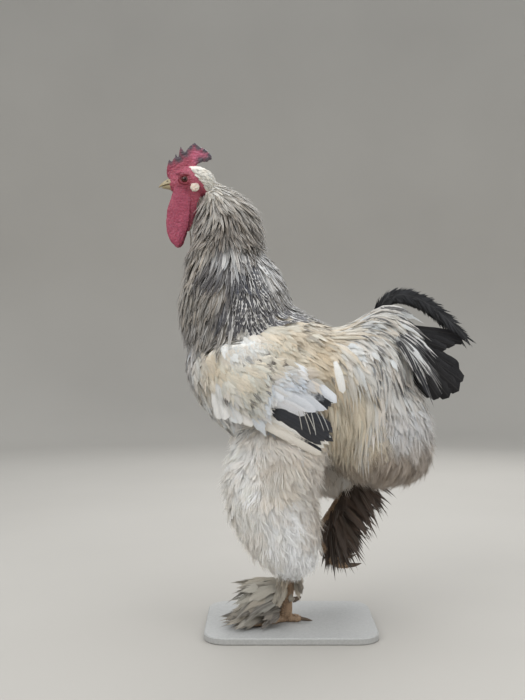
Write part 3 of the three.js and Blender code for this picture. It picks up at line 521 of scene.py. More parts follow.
# Ground colours of the plumage, some darkened with painted shade where noted: [x, z, and the colour there as it
# looks on a screen].
NECK_COLOURS = np.array([
    (-138, 668, 232, 228, 218), (-127, 655, 222, 217, 205), (-118, 634, 206, 200, 188), (-91, 628, 178, 170, 158),
    # The dark browns at the foot of the ruff, at heights of 560 to 566, are the ruff's brown darkened with painted
    # shadow under its lower edge.
    (-62, 600, 152, 143, 131), (-110, 600, 166, 157, 145), (-99, 566, 128, 117, 105),
    (-60, 560, 140, 130, 118), (-142, 543, 172, 162, 149), (-151, 474, 176, 167, 154),
    (-146, 412, 144, 132, 119), (-112, 474, 152, 143, 131), (-110, 412, 122, 111, 100),
    (-92, 530, 206, 204, 200), (-104, 511, 60, 56, 58), (-90, 456, 50, 50, 58), (-66, 500, 44, 48, 60),
    (-62, 452, 60, 62, 72), (-30, 452, 90, 90, 96),
    (-26, 520, 196, 195, 192), (-9, 490, 132, 127, 122),
])
BODY_COLOURS = np.array([
    (-80, 404, 230, 228, 223), (-110, 376, 216, 204, 180), (-64, 366, 214, 208, 192),
    (25, 409, 206, 190, 164), (-20, 402, 212, 202, 182),
    (60, 367, 206, 192, 168), (-59, 420, 228, 225, 218), (11, 442, 210, 200, 182),
    (-14, 349, 222, 226, 232), (-111, 332, 216, 216, 216), (-122, 297, 218, 214, 207),
    (81, 409, 216, 214, 209), (123, 451, 204, 198, 188), (134, 395, 226, 223, 218),
    (84, 290, 214, 202, 180), (158, 353, 204, 200, 194), (179, 293, 214, 212, 210),
    # The brown-greys low on the cushion, at heights of 213 to 262, are painted shade under the body.
    (162, 232, 168, 154, 140), (123, 213, 164, 150, 136), (-152, 370, 214, 209, 201), (-163, 394, 140, 141, 147),
    (-138, 398, 214, 210, 204), (84, 232, 176, 162, 146), (200, 262, 178, 166, 154),
])
THIGH_COLOURS = np.array([
    # The darker, beiger entries at the top and rear of the thigh are painted shade under the wing.
    (-73, 276, 248, 245, 240), (-66, 220, 250, 247, 242), (-10, 234, 232, 225, 214),
    (36, 220, 224, 217, 208), (-59, 150, 248, 244, 238), (-10, 164, 252, 251, 249),
    (18, 115, 254, 255, 255), (42, 164, 222, 214, 204), (-84, 192, 252, 249, 243), (-20, 276, 234, 227, 217),
])


def ground_at(points, table, reach=16):
    return linear(weights(points, table, reach) @ table[:, 2:])


FLESH = {"face": (168, 80, 98), "brow": (154, 68, 88), "lid": (132, 46, 60), "lobe": (214, 200, 186),
         "wattle": (164, 74, 96), "comb": (144, 58, 78)}
COMB_ROSE, COMB_GREY = (196, 104, 130), (80, 69, 77)
COMB_POINTS = np.array([(x, z) for x, z in COMB_OUTLINE if z > 684])
wide, _, heights = above_soles(skin_places).T
is_neck, is_comb = comes_from(vertex_source, "neck"), comes_from(vertex_source, "comb")
is_thigh = comes_from(vertex_source, "thigh_left", "thigh_right")
is_bare = comes_from(vertex_source, *HEAD_PARTS)
ground = ground_at(skin_places, BODY_COLOURS)
ground[is_neck] = ground_at(skin_places[is_neck], NECK_COLOURS)
ground[is_thigh] = ground_at(skin_places[is_thigh], THIGH_COLOURS)
for part, colour in FLESH.items():
    ground[comes_from(vertex_source, part)] = linear(colour)
# The comb is rose towards the rear and grey at its points, and the rest of the flesh is blotchy.
from_point = np.sqrt(((np.stack([wide, heights], 1)[:, None] - COMB_POINTS[None]) ** 2).sum(2).min(1))
grey = np.clip((11 - from_point - 1.6 * roughly(skin_places, 4 * MM)) / 7.5, 0, 1) ** 1.2 * is_comb
blush = np.clip(0.5 + 1.2 * roughly(skin_places, 9 * MM, 4), 0, 1) * (is_bare & ~is_comb)
blush *= ~comes_from(vertex_source, "lobe")
ground += blush[:, None] * 0.45 * (ground * (0.72, 0.6, 0.66) - ground)
ground += (np.clip((wide + 158) / 14, 0, 1) * is_comb)[:, None] * 0.7 * (linear(COMB_ROSE) - ground)
ground += grey[:, None] * (linear(COMB_GREY) - ground)
# Where the feathers begin behind the bare face: [height, x].
FACE_LINE = [(552, -162), (585, -152), (600, -143), (625, -129), (640, -125), (655, -136), (665, -145), (676, -153)]


def feathered(x, z):
    return x > np.interp(z, *zip(*FACE_LINE))


uneven = 2.5 * roughly(skin_places, 3 * MM, 6)
crown_skin = comes_from(vertex_source, "face", "brow") & feathered(wide + uneven - 2, heights) & (heights < 676)
throat = is_neck & ~feathered(wide + uneven, heights) & (heights > 596)
ground[throat] = linear(FLESH["face"])
ground[crown_skin] = ground_at(skin_places[crown_skin], NECK_COLOURS)


def paint(mesh, ground, marks):
    """Keeps at every point of a mesh the ground colour and the marks that the materials read."""
    for layer, values in (("ground", np.column_stack([ground, np.ones(len(ground))])), ("marks", marks)):
        colours = mesh.attributes.new(layer, "FLOAT_COLOR", "POINT").data
        colours.foreach_set("color", values.astype(np.float32).ravel())


marks = np.zeros((len(skin_places), 4))
marks[is_neck, 0] = 0.5
paint(skin.data, ground, marks)


def plumage_marks():
    """The marks of a feather: barbs slanting from the shaft, a dark streak along it, bars across it, a
    dark tip and a pale edge, with painted shade that darkens each vane towards its root, for depth
    between the overlapping feathers. Puts out the colour, and the height of the barbs for a bump."""
    group = bpy.data.node_groups.new("plumage_marks", "ShaderNodeTree")
    face = group.interface
    for name, kind, value in (
        ("Ground", "NodeSocketColor", (0.5, 0.5, 0.5, 1)),
        ("Dark", "NodeSocketColor", (0.02, 0.022, 0.03, 1)),
        ("Marks", "NodeSocketColor", (0, 0, 0, 1)),
        ("Edge", "NodeSocketFloat", 0.0),
        ("Vane", "NodeSocketVector", (0, 0, 0)),
        ("Place", "NodeSocketVector", (0, 0, 0)),
        ("Barbs", "NodeSocketFloat", 60.0),
    ):
        socket = face.new_socket(name=name, in_out="INPUT", socket_type=kind)
        socket.default_value = value
    face.new_socket(name="Color", in_out="OUTPUT", socket_type="NodeSocketColor")
    face.new_socket(name="Height", in_out="OUTPUT", socket_type="NodeSocketFloat")
    inputs = add_node(group, "NodeGroupInput").outputs

    def maths(operation, *values):
        return add_node(group, "ShaderNodeMath", dict(enumerate(values)), operation=operation).outputs[0]

    def smooth(value, low, high):
        ends = {"Value": value, "From Min": low, "From Max": high}
        return add_node(group, "ShaderNodeMapRange", ends, interpolation_type="SMOOTHSTEP").outputs["Result"]

    vane = add_node(group, "ShaderNodeSeparateXYZ", {"Vector": inputs["Vane"]}).outputs
    across = maths("MULTIPLY", maths("ABSOLUTE", maths("SUBTRACT", vane["X"], 0.5)), 2.0)
    along = vane["Y"]
    patchy = grain(group, inputs["Place"], 170.0, 2.0)
    fine = grain(group, inputs["Place"], 900.0, 1.0)
    slant = maths("SUBTRACT", along, maths("MULTIPLY", across, 0.22))
    wave = maths("SINE", maths("MULTIPLY_ADD", slant, inputs["Barbs"], maths("MULTIPLY", patchy, 9.0)))
    barb = maths("MULTIPLY_ADD", wave, 0.5, 0.5)
    shaft = maths("SUBTRACT", 1.0, smooth(across, 0.02, 0.1))

    mark = add_node(group, "ShaderNodeSeparateColor", {"Color": inputs["Marks"]}).outputs
    soft = maths("MULTIPLY_ADD", patchy, 0.5, -0.25)
    reach = maths("ADD", across, soft)
    streak = maths("SUBTRACT", 1.0, smooth(reach, 0.25, 0.6))
    streak = maths("MULTIPLY", streak, mark["Red"])
    bars = maths("SINE", maths("MULTIPLY_ADD", along, 34.0, maths("MULTIPLY", patchy, 6.0)))
    bars = maths("MULTIPLY", smooth(bars, 0.0, 0.6), mark["Green"])
    tip = smooth(maths("ADD", along, maths("MULTIPLY", soft, 0.8)), 0.6, 0.85)
    tip = maths("MULTIPLY", tip, mark["Blue"])
    dark = maths("MAXIMUM", maths("MAXIMUM", streak, bars), tip)
    edge = maths("ADD", maths("MULTIPLY_ADD", bars, 0.3, across), maths("MULTIPLY", soft, 0.4))
    edge = maths("MULTIPLY", smooth(edge, 0.46, 0.6), inputs["Edge"])

    shade = maths("MULTIPLY_ADD", barb, 0.1, 0.93)
    shade = maths("MULTIPLY", shade, maths("MULTIPLY_ADD", fine, 0.24, 0.9))
    # Painted shade: each vane is darker towards its root, where the feathers over it overlap.
    shade = maths("MULTIPLY", shade, maths("MULTIPLY_ADD", smooth(along, 0.0, 0.5), 0.18, 0.84))
    colour = mixed(group, dark, inputs["Ground"], inputs["Dark"])
    colour = mixed(group, edge, colour, (0.72, 0.7, 0.67, 1))
    pale = maths("MULTIPLY", shaft, maths("MULTIPLY_ADD", mark["Red"], 0.36, 0.02))
    colour = mixed(group, pale, colour, (0.6, 0.58, 0.54, 1))
    shaded = add_node(group, "ShaderNodeVectorMath", {0: colour, 3: shade}, operation="SCALE").outputs["Vector"]
    add_node(group, "NodeGroupOutput", {"Color": shaded, "Height": maths("ADD", barb, shaft)})
    return group


marks_group = plumage_marks()


def feather_material(name, roughness, dark, barbs, sheen=0.25, bump=0.12, through=0.25):
    """A plumage material with its own dark colour, number of barbs and gloss, and how much light it lets
    through."""
    material, tree, shader = new_material(name, roughness)
    marks = add_node(tree, "ShaderNodeAttribute", attribute_name="marks").outputs
    group = add_node(tree, "ShaderNodeGroup", {
        "Ground": add_node(tree, "ShaderNodeAttribute", attribute_name="ground").outputs["Color"],
        "Marks": marks["Color"], "Edge": marks["Alpha"], "Place": own_place(tree),
        "Vane": add_node(tree, "ShaderNodeUVMap", uv_map="vane").outputs["UV"],
        "Dark": (*linear(dark), 1), "Barbs": barbs,
    }, node_tree=marks_group).outputs
    set_inputs(tree, shader, {
        "Base Color": group["Color"], "Normal": bumped(tree, group["Height"], bump, 0.0006),
        "Sheen Weight": sheen, "Sheen Roughness": 0.5, "Specular IOR Level": 0.25,
        "Subsurface Weight": through, "Subsurface Radius": (1, 0.9, 0.75), "Subsurface Scale": 0.006,
    })
    return material


# The skin's two finishes.
under_coat = feather_material("under_coat", 0.9, (60, 54, 50), 60.0, through=0)
bare_skin, tree, shader = new_material("bare_skin", 0.42)
own_colour = add_node(tree, "ShaderNodeAttribute", attribute_name="ground").outputs["Color"]
place = own_place(tree)
mottle = grain(tree, place, 420.0, 4.0)
pores = add_node(tree, "ShaderNodeTexVoronoi", {"Vector": place, "Scale": 900.0}).outputs["Distance"]
lighter = add_node(
    tree, "ShaderNodeMapRange", {"Value": mottle, "From Min": 0.35, "From Max": 0.65, "To Min": 0.8, "To Max": 1.12}
).outputs["Result"]
tinted = add_node(tree, "ShaderNodeVectorMath", {0: own_colour, 3: lighter}, operation="SCALE").outputs["Vector"]
rise = add_node(tree, "ShaderNodeMath", {0: mottle, 1: pores}, operation="ADD").outputs[0]
set_inputs(tree, shader, {
    "Base Color": tinted, "Normal": bumped(tree, rise, 0.5, 0.0006), "Specular IOR Level": 0.4,
    "Subsurface Weight": 0.2, "Subsurface Radius": (1, 0.3, 0.2), "Subsurface Scale": 0.002,
})

skin.data.materials.clear()
skin.data.materials.append(under_coat)
skin.data.materials.append(bare_skin)
bare_vertex = is_bare & ~crown_skin | throat
face_corner = np.empty(len(skin.data.loops), np.int32)
skin.data.loops.foreach_get("vertex_index", face_corner)
starts = np.empty(len(skin.data.polygons), np.int32)
skin.data.polygons.foreach_get("loop_start", starts)
skin.data.polygons.foreach_set("material_index", bare_vertex[face_corner[starts]].astype(np.int32))
vane_layer = skin.data.uv_layers.new(name="vane")
vane_layer.data.foreach_set("uv", np.tile((0.8, 0.4), len(skin.data.loops)).astype(np.float32))
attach(skin, "root")
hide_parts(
    "head", "comb", "wattle_left", "wattle_right", "ear_lobe_left", "ear_lobe_right", "trunk", "neck",
    "wing_left", "wing_right", "thigh_left", "thigh_right", "fluff", "tail",
)

# Body feathers: soft, rounded and overlapping, with loose tips, on breast, flanks, shoulders and back.
# Each grows from a point of the skin, is laid over it in the lie of the coat, and is a closed vane.
skin.data.calc_loop_triangles()
corners = np.array([t.vertices[:] for t in skin.data.loop_triangles])
loops = np.array([t.loops[:] for t in skin.data.loop_triangles])
skin_uv = np.empty(len(skin.data.loops) * 2, np.float32)
skin.data.uv_layers["OFBake"].data.foreach_get("uv", skin_uv)
skin_uv = skin_uv.reshape(-1, 2)
skin_normals = vertex_values(skin.data, "normal")
triangles = skin_places[corners]
triangle_source = nearest_of(triangles.mean(1), source_points)
triangle_area = np.linalg.norm(
    np.cross(triangles[:, 1] - triangles[:, 0], triangles[:, 2] - triangles[:, 0]), axis=1
) / 2
skin_tree = BVHTree.FromPolygons(skin_places.tolist(), corners.tolist(), all_triangles=True)


def unit(v):
    return v / np.maximum(np.linalg.norm(v, axis=-1, keepdims=True), 1e-9)


def on_skin(points):
    """The skin's nearest places to points, and the way it faces there."""
    hits = [skin_tree.find_nearest(p) for p in points.tolist()]
    return np.array([h[0] for h in hits]), np.array([h[1] for h in hits])


def scatter(sources, spacing, seed, keep):
    """Roots spread evenly over the skin above the named parts: places, facings and spots on the unwrap.

    Spacing is in millimetres, and keep says which places, in millimetres above the soles, bear them."""
    rng = np.random.default_rng(seed)
    chosen = np.flatnonzero(comes_from(triangle_source, *sources))
    chosen = chosen[keep(*above_soles(triangles[chosen].mean(1)).T)]
    area = triangle_area[chosen]
    tries = int(5 * area.sum() / (spacing * MM) ** 2)
    picked = rng.choice(chosen, tries, p=area / area.sum())
    a, b = rng.random(tries), rng.random(tries)
    a, b = np.where(a + b > 1, 1 - a, a), np.where(a + b > 1, 1 - b, b)
    shares = np.stack([1 - a - b, a, b], 1)[:, :, None]
    places = (triangles[picked] * shares).sum(1)
    cells, taken = {}, []
    gap = spacing * MM * 0.8
    around = [(i, j, l) for i in (-1, 0, 1) for j in (-1, 0, 1) for l in (-1, 0, 1)]
    for k, (x, y, z) in enumerate(np.floor(places / gap).astype(int).tolist()):
        near = (cells.get((x + i, y + j, z + l)) for i, j, l in around)
        if all(((places[k] - places[other]) ** 2).sum() > gap * gap for other in near if other is not None):
            cells[x, y, z] = k
            taken.append(k)
    taken = np.array(taken)
    facing = unit((skin_normals[corners[picked[taken]]] * shares[taken]).sum(1))
    spots = (skin_uv[loops[picked[taken]]] * shares[taken]).sum(1)
    return places[taken], facing, spots


# The lie of the coat: [x, z, and the way a feather points there along x and z].
LIE = np.array([
    (-134, 662, 1, -.3), (-116, 648, 1, -.8), (-85, 628, .7, -1), (-59, 596, .3, -1), (-109, 600, .2, -1),
    (-128, 617, -.15, -1), (-127, 571, -.1, -1), (-51, 560, .1, -1), (-91, 546, .2, -1),
    (-145, 534, -.25, -1), (-158, 481, .03, -1), (-151, 424, .2, -1), (-102, 520, -.4, -1),
    (-114, 474, -.15, -1), (-124, 417, .1, -1), (-85, 460, -.3, -1), (-74, 517, .1, -1),
    (-56, 503, .45, -1), (-42, 474, .3, -1), (-23, 517, .6, -1), (-9, 481, .6, -1),
    (-157, 381, .2, -1), (-136, 332, .5, -1), (-108, 290, .8, -1), (-111, 372, .6, -1),
    (-84, 344, .9, -.8), (11, 447, 1, -.25), (-34, 442, .7, -.7), (0, 409, .9, -.6), (53, 402, .7, -1),
    (74, 442, 1, -.1), (116, 456, 1, -.25), (154, 442, .8, -.8), (81, 386, .45, -1), (123, 388, .6, -1),
    (165, 372, .5, -1), (67, 332, .3, -1), (109, 304, .2, -1), (151, 290, .1, -1), (186, 332, .2, -1),
    (190, 262, -.15, -1), (151, 232, -.1, -1), (109, 234, 0, -1), (-10, 330, 1, -.6),
    (-73, 276, -.2, -1), (-84, 234, -.35, -1), (-34, 237, .1, -1), (22, 234, .4, -1), (-64, 171, .15, -1),
    (-3, 164, .4, -1), (-20, 122, .4, -.9), (25, 129, -.05, -1), (18, 87, 0, -1),
])


def lie(points, facing, turn):
    """The way feathers point at places on the skin, turned by an angle of their own."""
    shares = weights(points, LIE, 16)
    way = np.zeros((len(points), 3))
    way[:, 0] = shares @ LIE[:, 2]
    way[:, 2] = shares @ LIE[:, 3]
    way = unit(way)
    way -= facing * (way * facing).sum(1, keepdims=True)
    way[:, 2] -= 0.05
    way = unit(way - facing * (way * facing).sum(1, keepdims=True))
    return way * np.cos(turn)[:, None] + np.cross(facing, way) * np.sin(turn)[:, None]


def above_skin(path, first, height):
    """Pushes paths out to a height over the skin at the tips, where the skin bends sharply below them."""
    last = path.shape[1] - 1
    for k in range(first, last + 1):
        spot, out = on_skin(path[:, k])
        sunk = (1 + (height - 1) * k / last) * MM - ((path[:, k] - spot) * out).sum(1)
        path[:, k] += out * np.clip(sunk, 0, 9 * MM)[:, None]
    return path


STIFFNESS = 0.5  # how much of its heading a feather keeps at each step
ROOT_DEPTH, TIP_HEIGHT = 1.2, 2.5  # millimetres under and over the skin


def laid(places, facing, length, lift, turn, steps=5, curl=0.0, fall=0.0):
    """Paths of feathers over the skin. Lift is how far the tips stand off, curl bends them outwards
    at the tip, and fall lets them hang; each may differ from feather to feather."""
    length, lift, curl = (np.broadcast_to(v, len(places))[:, None] * 1.0 for v in (length, lift, curl))
    here, out = places, facing
    way = lie(here, out, turn)
    path, faces = [here - out * ROOT_DEPTH * MM], [out]
    for k in range(1, steps + 1):
        share = k / steps
        way = unit(way * STIFFNESS + lie(here, out, turn) * (1 - STIFFNESS) + (0, 0, -fall * share))
        here, out = on_skin(here + way * length * MM / steps)
        raised = here + out * (lift * share**0.8 + curl * share**3) * MM
        path.append(raised)
        faces.append(out)
    path, faces = np.stack(path, 1), np.stack(faces, 1)
    # Ease the bends.
    for _ in range(3):
        path[:, 1:-1] = (path[:, :-2] + 2 * path[:, 1:-1] + path[:, 2:]) / 4
        faces[:, 1:-1] = (faces[:, :-2] + 2 * faces[:, 1:-1] + faces[:, 2:]) / 4
    return above_skin(path, 1, TIP_HEIGHT), unit(faces)


def blade(middle, half, across, thick, columns=(-1, 0, 1), camber=0.0):
    """A thin closed blade in a feather's own measures: u across, v along and h up, as points and triangles."""
    middle, across = np.array(middle, float), np.array(across, float)
    points, triangles = [], []
    for i, (place, reach) in enumerate(zip(middle[:-1], half)):
        for c in columns:
            points.append((*(place + across * reach * c), -camber * (reach * c) ** 2))
        points.append((*place, -thick - camber * 0.3 * reach**2))
    points.append((*middle[-1], 0.0))
    ring, rings = len(columns) + 1, len(middle) - 1
    last = (rings - 1) * ring
    for i in range(rings - 1):
        for j in range(ring):
            a, b = i * ring + j, i * ring + (j + 1) % ring
            triangles += [(a, b, b + ring), (a, b + ring, a + ring)]
    triangles += [(last + j, last + (j + 1) % ring, rings * ring) for j in range(ring)]
    triangles += [(0, j + 1, j) for j in range(1, ring - 1)]
    points, triangles = np.array(points), np.array(triangles)
    a, b, c = (points[triangles[:, k]] for k in range(3))
    if (a * np.cross(b, c)).sum() < 0:
        triangles = triangles[:, ::-1]
    return points, triangles


def joined(blades):
    points = np.concatenate([p for p, t in blades])
    starts = np.cumsum([0] + [len(p) for p, t in blades[:-1]])
    return points, np.concatenate([t + s for (p, t), s in zip(blades, starts)])


def soft_vane(profile, seed, rows=5, fringe=10):
    """A vane that is whole in the middle and breaks up into loose barbs towards its tip."""
    rng = np.random.default_rng(seed)
    v = np.linspace(0, 0.84, rows + 1)
    half = 0.82 * np.interp(v, *zip(*profile)) * (1 + 0.12 * rng.uniform(-1, 1, rows + 1))
    blades = [blade(np.stack([0.06 * rng.uniform(-1, 1, rows + 1) * v, v], 1), half, (1, 0), 0.06, camber=0.22)]
    for k in range(fringe):
        aim = (k + 0.5 + 0.3 * rng.uniform(-1, 1)) / fringe * 2 - 1
        start = 0.36 + 0.34 * (1 - abs(aim)) + 0.06 * rng.uniform(-1, 1)
        stop = start + rng.uniform(0.26, 0.4)
        out = np.interp(min(stop, 0.96), *zip(*profile)) * rng.uniform(0.9, 1.2)
        root = (0.62 * aim * np.interp(start, *zip(*profile)), start)
        mid = (0.5 * root[0] + 0.5 * aim * out + 0.08 * aim, start + 0.55 * (stop - start))
        points, triangles = blade([root, mid, (aim * out, stop)], (0.14, 0.1), (1, -0.06 * aim), 0.04, (-1, 1))
        points[:, 2] += 0.02 - 0.22 * points[:, 0] ** 2 + 0.25 * rng.uniform(-1, 1) * (points[:, 1] - start)
        blades.append((points, triangles))
    return joined(blades)


def coat(name, path, faces, width, spots, ground, marks, templates, seed, straight=0.8):
    """A coat piece: one feather of a random template along each path. Width is half of the vane's, in
    millimetres; ground is each feather's colour and marks its streak, bars, dark tip and pale edge."""
    rng = np.random.default_rng(seed)
    # Leave out the few whose path folds back where two parts of the body meet.
    span = np.linalg.norm(path[:, -1] - path[:, 0], axis=1)
    kept = span > straight * np.linalg.norm(np.diff(path, axis=1), axis=2).sum(1)
    width = np.broadcast_to(width, len(path))
    path, faces, width, spots, ground, marks = (v[kept] for v in (path, faces, width, spots, ground, marks))
    count, steps = path.shape[0], path.shape[1] - 1
    forms = np.stack([t[0] for t in templates])
    pick = rng.integers(len(templates), size=count)
    uvh = forms[pick]
    v = np.clip(uvh[:, :, 1], 0, 1) * steps
    low = np.minimum(v.astype(int), steps - 1)
    share = (v - low)[:, :, None]
    beyond = np.maximum(uvh[:, :, 1] - 1, 0)[:, :, None]
    rows = np.arange(count)[:, None]

    def at(index):
        return path[rows, np.clip(index, 0, steps)]

    a, b, c, d = at(low - 1), at(low), at(low + 1), at(low + 2)
    middle = between(a, b, c, d, share)
    slope = unit(0.5 * ((c - a) + 2 * share * (2 * a - 5 * b + 4 * c - d) + 3 * share**2 * (3 * b - a - 3 * c + d)))
    out = unit(faces[rows, low] * (1 - share) + faces[rows, low + 1] * share)
    out = unit(out - slope * (out * slope).sum(2, keepdims=True))
    side = np.cross(slope, out)
    half = (width * MM)[:, None, None]
    length = np.linalg.norm(np.diff(path, axis=1), axis=2).sum(1)[:, None, None]
    points = middle + slope * beyond * length + side * uvh[:, :, :1] * half + out * uvh[:, :, 2:] * half
    per = forms.shape[1]
    triangles = (templates[0][1][None] + np.arange(count)[:, None, None] * per).reshape(-1, 3)
    points = points.reshape(-1, 3)

    mesh = bpy.data.meshes.new(name)
    mesh.vertices.add(len(points))
    mesh.vertices.foreach_set("co", points.astype(np.float32).ravel())
    mesh.loops.add(len(triangles) * 3)
    mesh.loops.foreach_set("vertex_index", triangles.astype(np.int32).ravel())
    mesh.polygons.add(len(triangles))
    mesh.polygons.foreach_set("loop_start", np.arange(0, len(triangles) * 3, 3, dtype=np.int32))
    mesh.update(calc_edges=True)
    mesh.shade_smooth()
    mesh.set_sharp_from_angle(angle=math.radians(50))
    corner = triangles.ravel()
    own = uvh[:, :, :2].reshape(-1, 2) * (0.5, 1) + (0.5, 0)
    spot = np.repeat(spots, per, 0) + (own - 0.5) * 0.003
    for layer, values in (("OFBake", spot), ("vane", own)):
        mesh.uv_layers.new(name=layer).data.foreach_set("uv", values[corner].astype(np.float32).ravel())
    paint(mesh, np.repeat(ground, per, 0), np.repeat(marks, per, 0))
    piece = bpy.data.objects.new(name, mesh)
    bpy.context.scene.collection.objects.link(piece)
    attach(piece, "root")
    return piece


def varied(ground, rng, amount, warm, patches):
    """Each feather a little lighter or darker, and warmer or cooler, than the ones beside it, over
    patches that neighbours share."""
    light = 1 + amount * rng.uniform(-1, 1, (len(ground), 1))
    light = light * (1 + np.broadcast_to(patches, len(ground))[:, None])
    tint = 1 + warm * rng.uniform(-1, 1, (len(ground), 1)) * (1, 0, -1)
    return np.clip(ground * light * tint, 0, 1)


def no_marks(count):
    return np.zeros((count, 4))


ROUNDED = [(0, .35), (.2, .8), (.5, 1), (.8, .95), (.93, .65), (1, .2)]
body_feathers = feather_material("body_feathers", 0.8, (84, 78, 74), 500.0)
soft_forms = [soft_vane(ROUNDED, s) for s in range(6)]
# Where the hackle ends over the shoulders and the back: [x, z].
HACKLE_END = np.array([
    (-170, 409), (-159, 409), (-138, 413), (-114, 399), (-96, 384), (-85, 417), (-76, 434), (-42, 434),
    (-9, 447), (7, 450), (60, 450),
])


def hackle_end(x):
    return np.interp(x, *HACKLE_END.T)


def messy(places, size, amount, seed):
    """Waves in how feathers lie, shared by neighbours within about a size in millimetres."""
    return amount * roughly(places, size * MM, seed)


for name, zone, seed in (
    ("breast_coat", lambda x, y, z: (x < -20) & (z < hackle_end(x) + 24) & (z > np.where(x < -78, 215, 300)), 11),
    ("back_coat", lambda x, y, z: (x >= -20) & (z < hackle_end(x) + 24) & ((z > 300) | (x < 100)), 15),
):
    places, facing, spots = scatter(["trunk", "neck", "wing_left", "wing_right"], 7.85, seed, zone)
    count = len(places)
    rng = np.random.default_rng(seed + 1)
    path, faces = laid(
        places, facing, rng.uniform(30, 46, count), rng.uniform(2.5, 5, count) + messy(places, 22, 2.5, 3),
        0.2 * rng.normal(size=count) + messy(places, 30, 0.7, 5), curl=rng.uniform(-1, 2, count),
    )
    colours = varied(ground_at(places, BODY_COLOURS), rng, 0.1, 0.05, messy(places, 14, 0.12, 9))
    marks = no_marks(count)
    marks[:, 0] = (rng.random(count) < 0.12) * rng.uniform(0.2, 0.7, count)
    piece = coat(name, path, faces, rng.uniform(7, 11, count), spots, colours, marks, soft_forms, seed + 2)
    piece.data.materials.append(body_feathers)

# Hackle: long narrow feathers that cape the neck. The short dense ones of the upper neck stand out in a
# full ruff over the long ones, which are dark with pale shafts and edges at the side.
LANCET = [(0, .3), (.25, .85), (.45, 1), (.75, .75), (.92, .35), (1, 0)]


def plain_vane(profile, seed, rows=7, columns=(-1, -0.5, 0, 0.5, 1), camber=0.25, ragged=0.08):
    """One closed vane of rows along it, its edges a little uneven."""
    rng = np.random.default_rng(seed)
    v = np.linspace(0, 1, rows + 1)
    half = np.interp(v, *zip(*profile)) * (1 + ragged * rng.uniform(-1, 1, rows + 1))
    middle = np.stack([0.05 * rng.uniform(-1, 1, rows + 1) * v, v], 1)
    points, triangles = blade(middle, half, (1, 0), 0.07, columns, camber)
    ring = len(columns) + 1
    edges = np.arange(len(points) - 1) % ring
    for edge in (0, len(columns) - 1):
        points[:-1][edges == edge, 2] += 0.1 * rng.uniform(-1, 1, (edges == edge).sum())
        points[:-1][edges == edge, 1] += 0.04 * rng.uniform(-0.3, 1, (edges == edge).sum())
    return points, triangles


hackle_feathers = feather_material("hackle_feathers", 0.6, (40, 36, 38), 700.0, sheen=0.35)
lancet_forms = [plain_vane(LANCET, s, 6, (-1, 0, 1), ragged=0.12) for s in range(6)]


def hackle(name, spacing, zone, long, half, lift, curl, streaks, edges, seed, ends=True):
    """A coat piece of hackles. The pairs are the least and most of a feather's length, half width, lift,
    curl, dark streak and pale edge. With ends, they stop where the cape does."""
    places, facing, spots = scatter(["neck", "face"], spacing, seed, zone)
    count = len(places)
    rng = np.random.default_rng(seed + 1)
    # Shorter and flatter close to the face.
    x, y, high = above_soles(places).T
    from_face = np.clip(x - np.interp(high, *zip(*FACE_LINE)), 0, 30) / 30
    from_face = np.maximum(from_face, np.clip((650 - high) / 18, 0, 1) * (np.abs(y) < 16))
    from_face = np.maximum(from_face, np.clip((640 - high) / 18, 0, 1))
    length = rng.uniform(*long, count) * (0.4 + 0.6 * from_face)
    turn = 0.1 * rng.normal(size=count) + messy(places, 24, 0.35, seed)
    lift = (rng.uniform(*lift, count) + messy(places, 16, 2.0, seed)) * (0.25 + 0.75 * from_face)
    lift *= np.clip((672 - high) / 45, 0.25, 1)
    if ends:
        path, faces = laid(places, facing, length, lift, turn)
        tip_x, _, tip_high = above_soles(path[:, -1]).T
        length = length - np.maximum(hackle_end(tip_x) - tip_high, 0) * 1.1
        uneven = rng.uniform(-26, 9, count) * (0.4 + 0.6 * rng.random(count))
        length += uneven + messy(places * (1, 1, 0.2), 10, 34, 12)
        kept = length > 26
        places, facing, spots, length, lift, turn = (v[kept] for v in (places, facing, spots, length, lift, turn))
        count = len(places)
    path, faces = laid(places, facing, length, lift, turn, curl=rng.uniform(*curl, count))
    # None hooks forwards from the throat.
    kept = (path[:, -1, 0] > -149 * MM) | (path[:, -1, 2] < GROUND + 540 * MM)
    places, path, faces, spots = (v[kept] for v in (places, path, faces, spots))
    count = len(places)
    colours = ground_at(path[:, 3], NECK_COLOURS, 9)
    tip_x, _, tip_high = above_soles(path[:, -1]).T
    low = np.clip(1 - (tip_high - hackle_end(tip_x)) / 22, 0, 1) * (tip_x < -84) * 0.45
    colours += low[:, None] * (ground_at(path[:, -1], BODY_COLOURS) - colours)
    colours = varied(colours, rng, 0.3, 0.05, messy(places, 12, 0.12, 9))
    marks = no_marks(count)
    top = np.clip(above_soles(places)[:, 2] - 590, 0, 60) / 60
    marks[:, 0] = rng.uniform(*streaks, count) * (1 - 0.6 * top)
    marks[:, 1] = (edges[0] > 0.5) * rng.uniform(0.2, 1, count)
    marks[:, 3] = rng.uniform(*edges, count)
    width = rng.uniform(*half, count)
    piece = coat(name, path, faces, width, spots, colours, marks, lancet_forms, seed + 2)
    piece.data.materials.append(hackle_feathers)


hackle(
    "ruff", 3.7, lambda x, y, z: (z > 572 + 0.35 * np.maximum(-x - 112, 0)) & (z < 668)
    & (feathered(x - 4, z) | (z < 634) & (np.abs(y) < 15) & (x > -140)),
    (30, 42), (1.4, 2.2), (9, 15), (0, 4), (0.1, 0.8), (0, 0.9), 21, ends=False,
)
hackle(
    "hackle_front", 4.6, lambda x, y, z: (z > 415) & (z < np.minimum(572 + 2.2 * np.maximum(-x - 102, 0), 606))
    & (x < -84) & feathered(x, z),
    (56, 90), (2.2, 3.4), (7, 12), (0, 3), (0.1, 0.9), (0, 0.8), 31,
)
hackle(
    "hackle_side", 5.8, lambda x, y, z: (z > 440) & (z < 592) & (x >= -84), (36, 66), (3.6, 5.2),
    (3, 8), (0, 3), (0.3, 0.9), (0.8, 1), 35,
)

